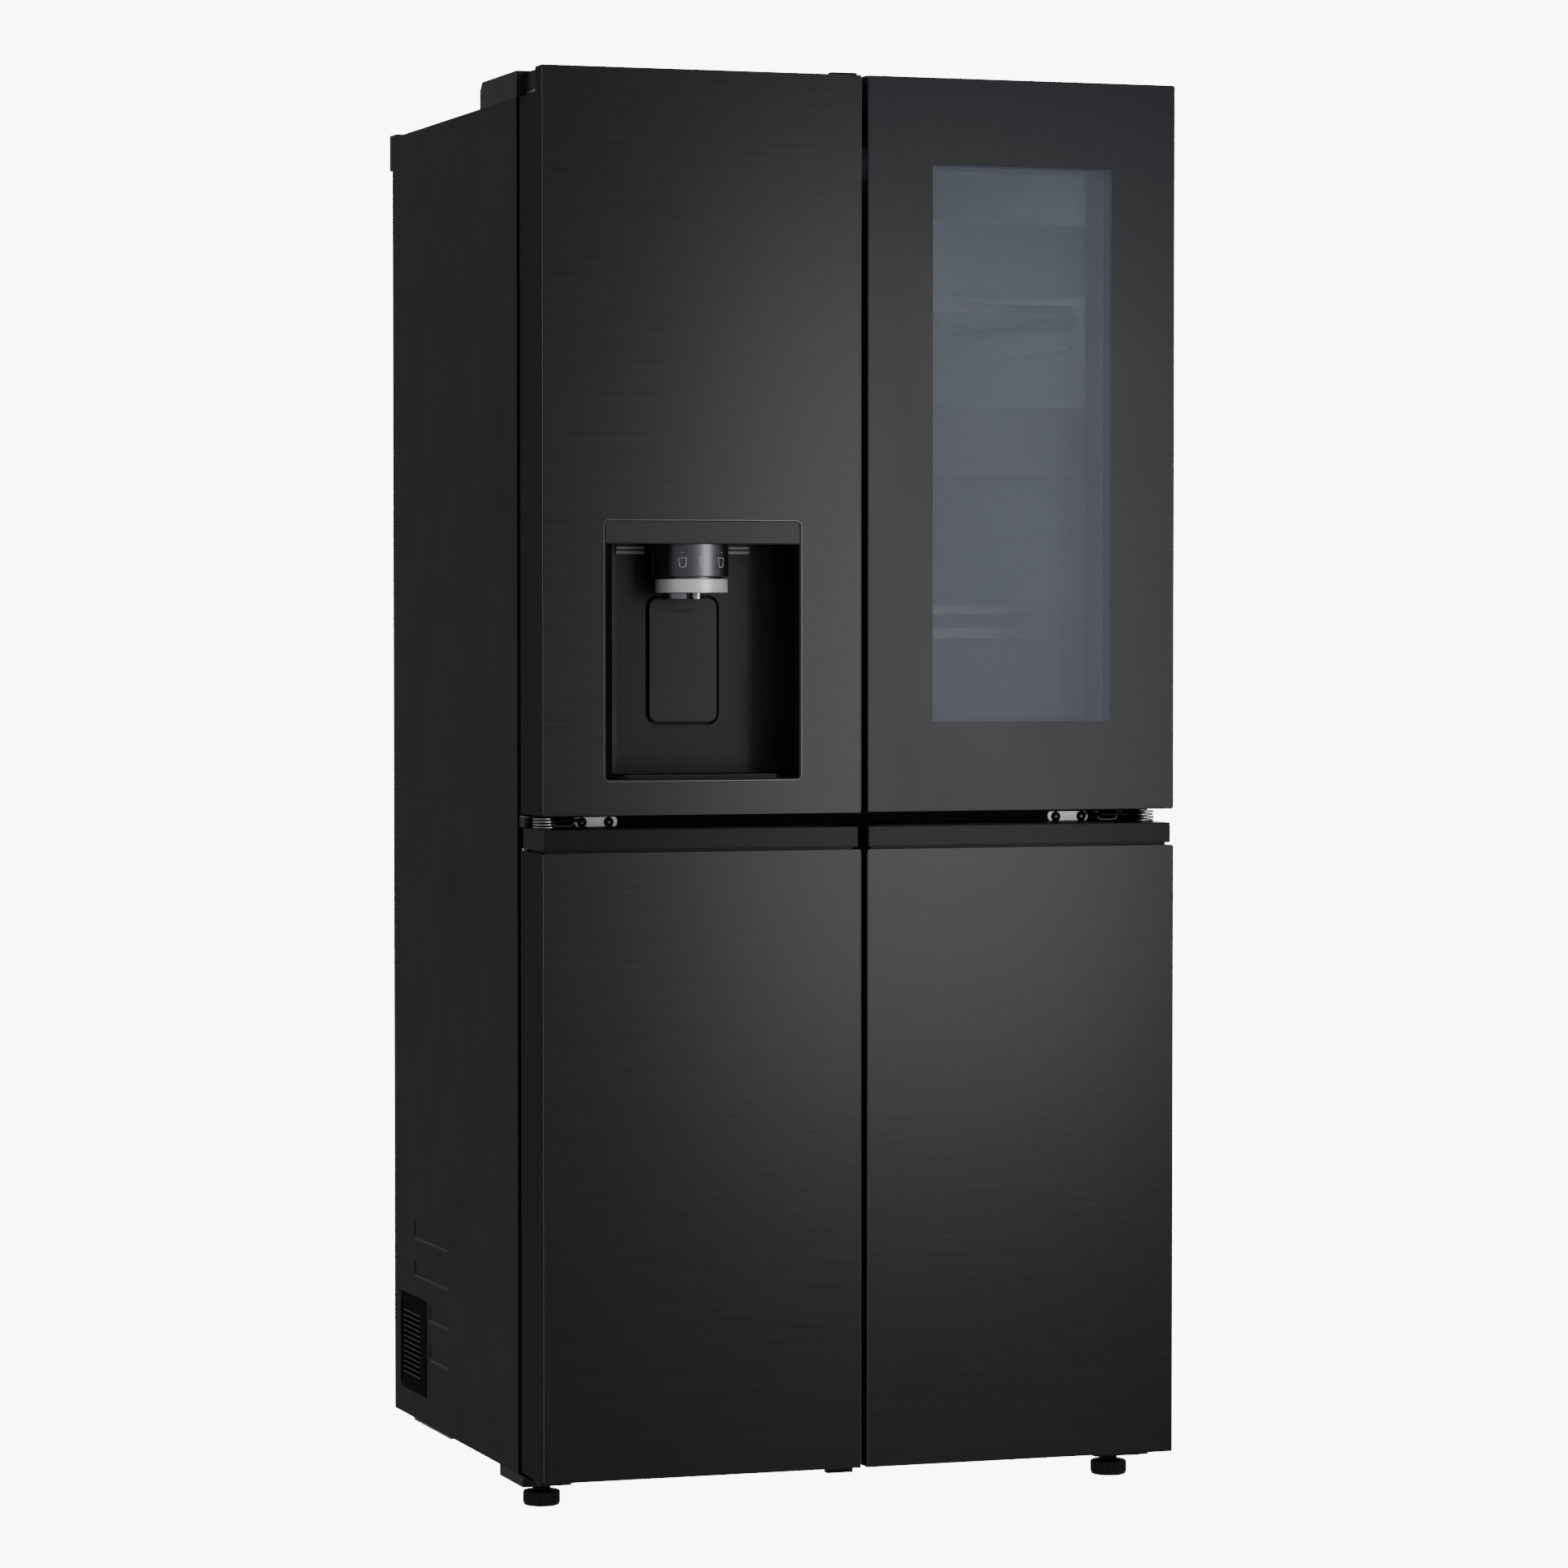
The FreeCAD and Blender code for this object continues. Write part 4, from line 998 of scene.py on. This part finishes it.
class FRIDGE_OT_dispenser(FridgeOperator):
    """The dispenser: niche, bezel, head with its icons, ring, nozzle, drip tray and lever"""

    bl_idname = "fridge.dispenser"
    bl_label = "Dispenser"

    def build(self, context):
        paint(niche_plastic(), "dispenser_housing")
        paint(fascia_plastic(), "dispenser_fascia")
        x0, x1, _, _, z0, z1 = span("dispenser_housing")
        self.middle = (x0 + x1) / 2
        self.bezel(context, x0, x1, z0, z1)
        self.lens_slots()
        self.head()
        self.ring()
        self.nozzle()
        self.tray()
        self.lever()

    def bezel(self, context, x0, x1, z0, z1):
        width = context.scene.fridge_sizes.bezel * 1000
        # The second ring is near black, just inside the bezel: painted shade for the gap between bezel and
        # niche.
        rows = (("dispenser_bezel", 0.0, width, 0.5, bezel_metal()),
                ("dispenser_bezel_gap", width, 2 * width, 0.05, deep_black()))
        for name, near, far, proud, finish in rows:
            bm = bmesh.new()
            border(bm, x0, x1, z0, z1,
                   [(near, 0.6), (near, 0.3 - proud), (near + 0.3, -proud), (far - 0.3, -proud),
                    (far, 0.3 - proud), (far, 0.6)], 7.2)
            make(name, bm, finish, UPPER_LEFT)
        bm = bmesh.new()
        section = [(x0 + 3, 0.4), (x0 + 11, 3.5), (x0 + 13, 5.5), (x0 + 15, 30), (x0 + 12, 30), (x0 + 3, 8)]
        prism(bm, section, z0 + 6, span("dispenser_fascia")[4] - 0.5, level)
        # The side lip takes the darker vent plastic rather than the niche plastic: painted shade on the
        # niche's left wall.
        make("dispenser_side_lip", bm, vent_plastic(), UPPER_LEFT, bevel=0.8)

    def lens_slots(self):
        back, _, ceiling = span("dispenser_head")[3:]
        for name, way in (("left", -1), ("right", 1)):
            bm = bmesh.new()
            a0, a1 = sorted((self.middle + way * 49, self.middle + way * 88))
            for low, high in ((ceiling - 12, ceiling - 6.8), (ceiling - 6, ceiling - 1.5)):
                slab(bm, a0, a1, low, high, back - 2.6, back + 0.6, front, 2.4, 1.4)
            make("dispenser_lens_" + name, bm, pale_slot(), UPPER_LEFT)

    def head(self):
        s1, z0, z1 = span("dispenser_head")[3:]
        ring_low, ring_top = span("dispenser_ring")[4:]
        low = ring_top + 3
        x, s, radius = self.middle, DRUM_BACK, DRUM_RADIUS
        bm = bmesh.new()
        turned(bm, [(38, ring_low - 0.5), (38, low - 0.6), (43.5, low - 0.6), (45.4, low),
                    (radius, low + 0.8), (radius, z1 - 0.2), (45, z1)], x, s, 96)
        flatten_behind(bm, s1)
        drum = make("dispenser_drum", bm, gunmetal(), UPPER_LEFT)
        block("dispenser_block", niche_plastic(), UPPER_LEFT,
              x - 50, x + 50, low, z1, 52, s1, front, 3, 1.2)
        block("dispenser_ice_chute", dark_chrome(), UPPER_LEFT,
              x - 38, x - 10, 26, 58, z0, ring_low, level, 5, 0.8)
        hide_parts("dispenser_head")
        self.icons(x, s, radius + 0.15, z1)

    def icons(self, x, s, radius, top):
        """Three small closed outlines of a glass round the drum, each under a short dash."""
        def on_drum(angle, offset, height):
            turn = math.radians(angle) + offset / radius
            return at(x + radius * math.sin(turn), s - radius * math.cos(turn), height)

        for number, angle in enumerate((-31.5, 1.5, 35.0)):
            base = top - 28.5
            glass = [(-5.2, 12), (-3.6, 0.6), (-3.0, 0), (3.0, 0), (3.6, 0.6), (5.2, 12), (2.6, 11.2),
                     (-2.6, 11.2)]
            tube("icon_glass_%d" % number, [on_drum(angle, a, base + b) for a, b in glass], 0.28,
                 icon_print(), UPPER_LEFT, cyclic=True)
            dash = [(-2.4, 18), (2.4, 18)]
            tube("icon_dash_%d" % number, [on_drum(angle, a, base + b) for a, b in dash], 0.2,
                 icon_print(), UPPER_LEFT)

    def ring(self):
        s1, z0, z1 = span("dispenser_ring")[3:]
        x, s = self.middle, DRUM_BACK
        bm = bmesh.new()
        profile = [(38.1, z0 + 0.4), (43.6, z0), (44.6, z0 + 0.3), (45, z0 + 1), (45, z1 - 0.8), (44.2, z1),
                   (38.1, z1)]
        loops = [[at(a, b, z) for a, b in circle(x, s, r, 96)] for r, z in profile]
        loft(bm, loops, ring=True)
        flatten_behind(bm, s1)
        ring = make("dispenser_collar", bm, satin_silver(), UPPER_LEFT)
        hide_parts("dispenser_ring")

    def nozzle(self):
        x0, x1, s0, s1, z0, z1 = span("dispenser_nozzle")
        x, s, r = (x0 + x1) / 2, (s0 + s1) / 2, (x1 - x0) / 2
        bm = bmesh.new()
        profile = [(r - 2, z1), (r, z1 - 0.2), (r, z1 - 2), (r - 0.5, z1 - 2.5), (r - 0.5, z0 + 0.8),
                   (r - 0.9, z0), (r - 1.7, z0), (r - 2, z0 + 0.6), (r - 2, z1 - 1.5)]
        loft(bm, [[at(a, b, z) for a, b in circle(x, s, radius, 40)] for radius, z in profile], ring=True)
        nozzle = make("dispenser_spout", bm, chrome(), UPPER_LEFT)
        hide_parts("dispenser_nozzle")

    def tray(self):
        x0, x1, s0, s1, z0, z1 = span("dispenser_tray")
        dish = block("drip_tray", niche_plastic(), UPPER_LEFT,
                     x0, x1, s0, s1, z0, z1 - 3, level, 20, 0.8)
        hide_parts("dispenser_tray")
        bm = bmesh.new()
        bars = 18
        pitch = (x1 - x0 - 36) / (bars - 1)
        for number in range(bars):
            x = x0 + 18 + number * pitch
            slab(bm, x - 1.6, x + 1.6, s0 + 8, s1 - 8, z1 - 4, z1 - 0.6, level, 1.5, 0.7, 2)
        slab(bm, x0 + 12, x1 - 12, s0 + 4, s0 + 8, z1 - 4, z1 - 0.6, level, 1.5, 0.7, 2)
        slab(bm, x0 + 12, x1 - 12, s1 - 8, s1 - 4, z1 - 4, z1 - 0.6, level, 1.5, 0.7, 2)
        make("drip_grille", bm, niche_plastic(), UPPER_LEFT)

    def lever(self):
        """The flat pad that a glass pushes, with a short slot near its top."""
        _, _, face, _, z0, z1 = span("dispenser_paddle")
        half_width = 45
        x0, x1 = self.middle - half_width, self.middle + half_width
        pad = block("lever_pad", pad_plastic(), LEVER,
                    x0, x1, z0, z1, face, face + 3, front, 12, 1.4, 4)
        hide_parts("dispenser_paddle")
        # The slot is a near-black plate on the pad's face: painted shade for its recess.
        block("lever_slot", deep_black(), LEVER,
              self.middle - 15, self.middle + 9, z1 - 17.6, z1 - 15.6, face - 0.15, face + 0.2, front,
              1, 0.1, 1)
        for way in (-1, 1):
            x = self.middle + way * 24
            block("lever_lug_" + ("left" if way < 0 else "right"), niche_plastic(), LEVER,
                  x - 5, x + 5, z1 - 8, z1 - 2, face + 2.6, face + 9, front, 2, 0.6)


# Inside -------------------------------------------------------------------------------------


class FRIDGE_OT_fresh_room(FridgeOperator):
    """The fresh-food room: lining, air duct cover, lamp, wall ledges, shelves and their trims"""

    bl_idname = "fridge.fresh_room"
    bl_label = "Fresh-food room"

    def build(self, context):
        paint(white_plastic(), "fresh_liner", "freezer_liners")
        paint(clear_glass(), "shelves")
        paint(metal_trim(), "shelf_trims")
        x0, x1, s0, s1, z0, z1 = span("fresh_liner")
        self.duct(x0, x1, s1, z0, z1)
        self.lamp(x0, x1, s0, z1)
        self.runners(x0, x1, s0, s1, z0, z1)

    def duct(self, x0, x1, s1, z0, z1):
        middle = (x0 + x1) / 2
        block("air_duct_cover", white_plastic(), CABINET,
              middle - 110, middle + 110, z0 + 250, z1 - 40, s1 - 9.9, s1 - 1.6, front, 24, 5, 4)
        # Near-black plates on the cover's face stand for the slots: painted shade in their openings.
        bm = bmesh.new()
        for row in range(4):
            z = z0 + 330 + row * (z1 - z0 - 420) / 3
            for way in (-1, 1):
                x = middle + way * 55
                slab(bm, x - 34, x + 34, z - 4, z + 4, s1 - 10.3, s1 - 9.4, front, 3.8, 0.3, 1)
        make("air_duct_slots", bm, deep_black(), CABINET)

    def lamp(self, x0, x1, s0, z1):
        middle = (x0 + x1) / 2
        block("lamp_ceiling", lamp_panel(), CABINET,
              middle - 150, middle + 150, s0 + 90, s0 + 150, z1 - 5, z1 - 1.6, level, 8, 1.5)

    def runners(self, x0, x1, s0, s1, z0, z1):
        """Moulded ledges on the side walls between the shelves."""
        for name, x, way in (("left", x0 + LINER, 1), ("right", x1 - LINER, -1)):
            bm = bmesh.new()
            for step in range(1, 7):
                z = z0 + 250 + step * 80
                if z > z1 - 30:
                    break
                a0, a1 = sorted((x, x + way * 3.4))
                slab(bm, s0 + 110, s1 - 30, z, z + 7, a0, a1, sideways, 3, 1.4)
            make("wall_ledges_" + name, bm, white_plastic(), CABINET)


class FRIDGE_OT_drawers(FridgeOperator):
    """Crispers and freezer drawers as clear tubs with grip rails"""

    bl_idname = "fridge.drawers"
    bl_label = "Drawers"

    def build(self, context):
        x0, x1, s0, s1, z0, z1 = span("crispers")
        half_gap = 4
        made = self.drawer("crisper_left", x0, -half_gap, s0, s1, z0, z1)
        self.drawer("crisper_right", half_gap, x1, s0, s1, z0, z1)
        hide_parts("crispers")
        x0, x1, s0 = span("freezer_drawers")[:3]
        first = None
        for number, (low, high, rear) in enumerate(freezer_rows()):
            for name, a0, a1 in (("left", x0, -DRAWER_INNER_SIDE), ("right", DRAWER_INNER_SIDE, x1)):
                made = self.drawer("freezer_drawer_%s_%d" % (name, number), a0, a1, s0, rear, low, high)
                first = first or made
        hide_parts("freezer_drawers")

    def drawer(self, name, x0, x1, s0, s1, z0, z1):
        bm = bmesh.new()
        tub(bm, x0, x1, s0 + 6, s1, z0, z1 - 4, 14, 2.6, 7)
        body = make(name, bm, clear_plastic(), CABINET)
        block(name + "_face", clear_plastic(), CABINET,
              x0, x1, z0 + 2, z1, s0, s0 + 6.5, front, 9, 2.4, 4)
        block(name + "_rail", metal_trim(), CABINET,
              x0 + 6, x1 - 6, z1 - 22, z1 - 6, s0 - 1.6, s0 + 1, front, 6, 1.2)
        return body


def freezer_rows():
    """Underside, top and rear of each freezer drawer: a short one before the step, two above it."""
    rear, low, high = span("freezer_drawers")[3:]
    rows = [(low, FLOOR_DRAWER_TOP, FLOOR_DRAWER_REAR)]
    pitch = (high + DRAWER_GAP - UPPER_DRAWERS_LOW) / 2
    for number in range(2):
        underside = UPPER_DRAWERS_LOW + number * pitch
        rows.append((underside, underside + pitch - DRAWER_GAP, rear))
    return rows


class FRIDGE_OT_baskets(FridgeOperator):
    """Door baskets: clear tubs with a bright rail along the rim"""

    bl_idname = "fridge.baskets"
    bl_label = "Door baskets"

    def build(self, context):
        corner = context.scene.fridge_sizes.basket_corner * 1000
        for code, body in DOORS:
            node = "door_" + code + "_baskets"
            x0, x1, s0, s1 = span(node)[:4]
            for number, low in enumerate(basket_lows(code)):
                bm = bmesh.new()
                tub(bm, x0, x1, s0 + 0.5, s1, low, low + BASKET_HEIGHT, corner, 2.6, 4)
                basket = make("basket_%s_%d" % (code, number), bm, clear_plastic(), body)
                if number == 0:
                    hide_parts(node)
                high = low + BASKET_HEIGHT
                block("basket_rail_%s_%d" % (code, number), metal_trim(), body,
                      x0 + 14, x1 - 14, high - 16, high - 2, s1 - 0.6, s1 + 0.8, front, 4, 0.7)


# Underside and machine room -----------------------------------------------------------------


class FRIDGE_OT_underside(FridgeOperator):
    """Knurled front feet, rollers, the fan, and the compressor with its pipe and terminal cover"""

    bl_idname = "fridge.underside"
    bl_label = "Feet and machine room"

    def build(self, context):
        paint(cover_plastic(), "roller_left", "roller_right", "condenser_fan")
        paint(compressor_paint(), "compressor")
        self.feet()
        self.compressor_fittings()

    def feet(self):
        x0, x1, s0, s1, _, z1 = span("feet")
        radius = (s1 - s0) / 2
        first = None
        for name, x in (("left", x0 + radius), ("right", x1 - radius)):
            bm = bmesh.new()
            profile = [(radius - 3, 0), (radius - 1.4, 0.6), (radius - 1.2, 2.5), (radius, 3.5),
                       (radius, 16.5), (radius - 1.2, 18), (radius - 6, 19.2), (12, 19.6), (11, 23),
                       (5, 24), (5, z1)]
            points = 72
            loops = []
            for r, z in profile:
                loop = []
                for n, (a, b) in enumerate(circle(x, s0 + radius, r, points)):
                    cut = 1.2 if r > radius - 0.5 and n % 4 < 2 else 0
                    pull = (r - cut) / r
                    loop.append(at(x + (a - x) * pull, s0 + radius + (b - s0 - radius) * pull, z))
                loops.append(loop)
            loft(bm, loops)
            foot = make("levelling_foot_" + name, bm, cover_plastic(), CABINET, smooth=30)
            first = first or foot
        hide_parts("feet")

    def compressor_fittings(self):
        x0, x1, s0, s1, z0, _ = span("compressor")
        route = [at(x1 - 4, s0 + 60, z0 + 70), at(x1 + 20, s0 + 60, z0 + 72), at(x1 + 28, s0 + 60, z0 + 60),
                 at(x1 + 30, s0 + 60, z0 + 20), at(x1 + 40, s0 + 60, z0 + 12), at(x1 + 90, s0 + 60, z0 + 12)]
        tube("suction_pipe", route, 3.2, copper(), CABINET)
        block("compressor_terminal_cover", cover_plastic(), CABINET,
              s0 + 40, s1 - 40, z0 + 40, z0 + 95, x0 - 14, x0 + 3, sideways, 6, 2)


# Interface ----------------------------------------------------------------------------------


class FRIDGE_PT_panel(bpy.types.Panel):
    """Lists the builders, colours and sizes"""

    bl_idname = "FRIDGE_PT_panel"
    bl_label = "Refrigerator"
    bl_space_type = "VIEW_3D"
    bl_region_type = "UI"
    bl_category = "Refrigerator"

    def draw(self, context):
        for group in (context.scene.fridge_finish, context.scene.fridge_sizes):
            for name in group.__annotations__:
                self.layout.prop(group, name)
        for builder in BUILDERS:
            self.layout.operator(builder.bl_idname)


BUILDERS = (
    FRIDGE_OT_stage,
    FRIDGE_OT_cabinet,
    FRIDGE_OT_hinges,
    FRIDGE_OT_steel_doors,
    FRIDGE_OT_glass_door,
    FRIDGE_OT_seals,
    FRIDGE_OT_dispenser,
    FRIDGE_OT_fresh_room,
    FRIDGE_OT_drawers,
    FRIDGE_OT_baskets,
    FRIDGE_OT_underside,
)
CLASSES = (FridgeFinish, FridgeSizes, *BUILDERS, FRIDGE_PT_panel)


def register():
    for item in CLASSES:
        bpy.utils.register_class(item)
    bpy.types.Scene.fridge_finish = bpy.props.PointerProperty(type=FridgeFinish)
    bpy.types.Scene.fridge_sizes = bpy.props.PointerProperty(type=FridgeSizes)


def unregister():
    del bpy.types.Scene.fridge_sizes
    del bpy.types.Scene.fridge_finish
    for item in reversed(CLASSES):
        bpy.utils.unregister_class(item)


def main():
    register()
    for builder in BUILDERS:
        module, name = builder.bl_idname.split(".")
        getattr(getattr(bpy.ops, module), name)()


if __name__ == "__main__":
    main()
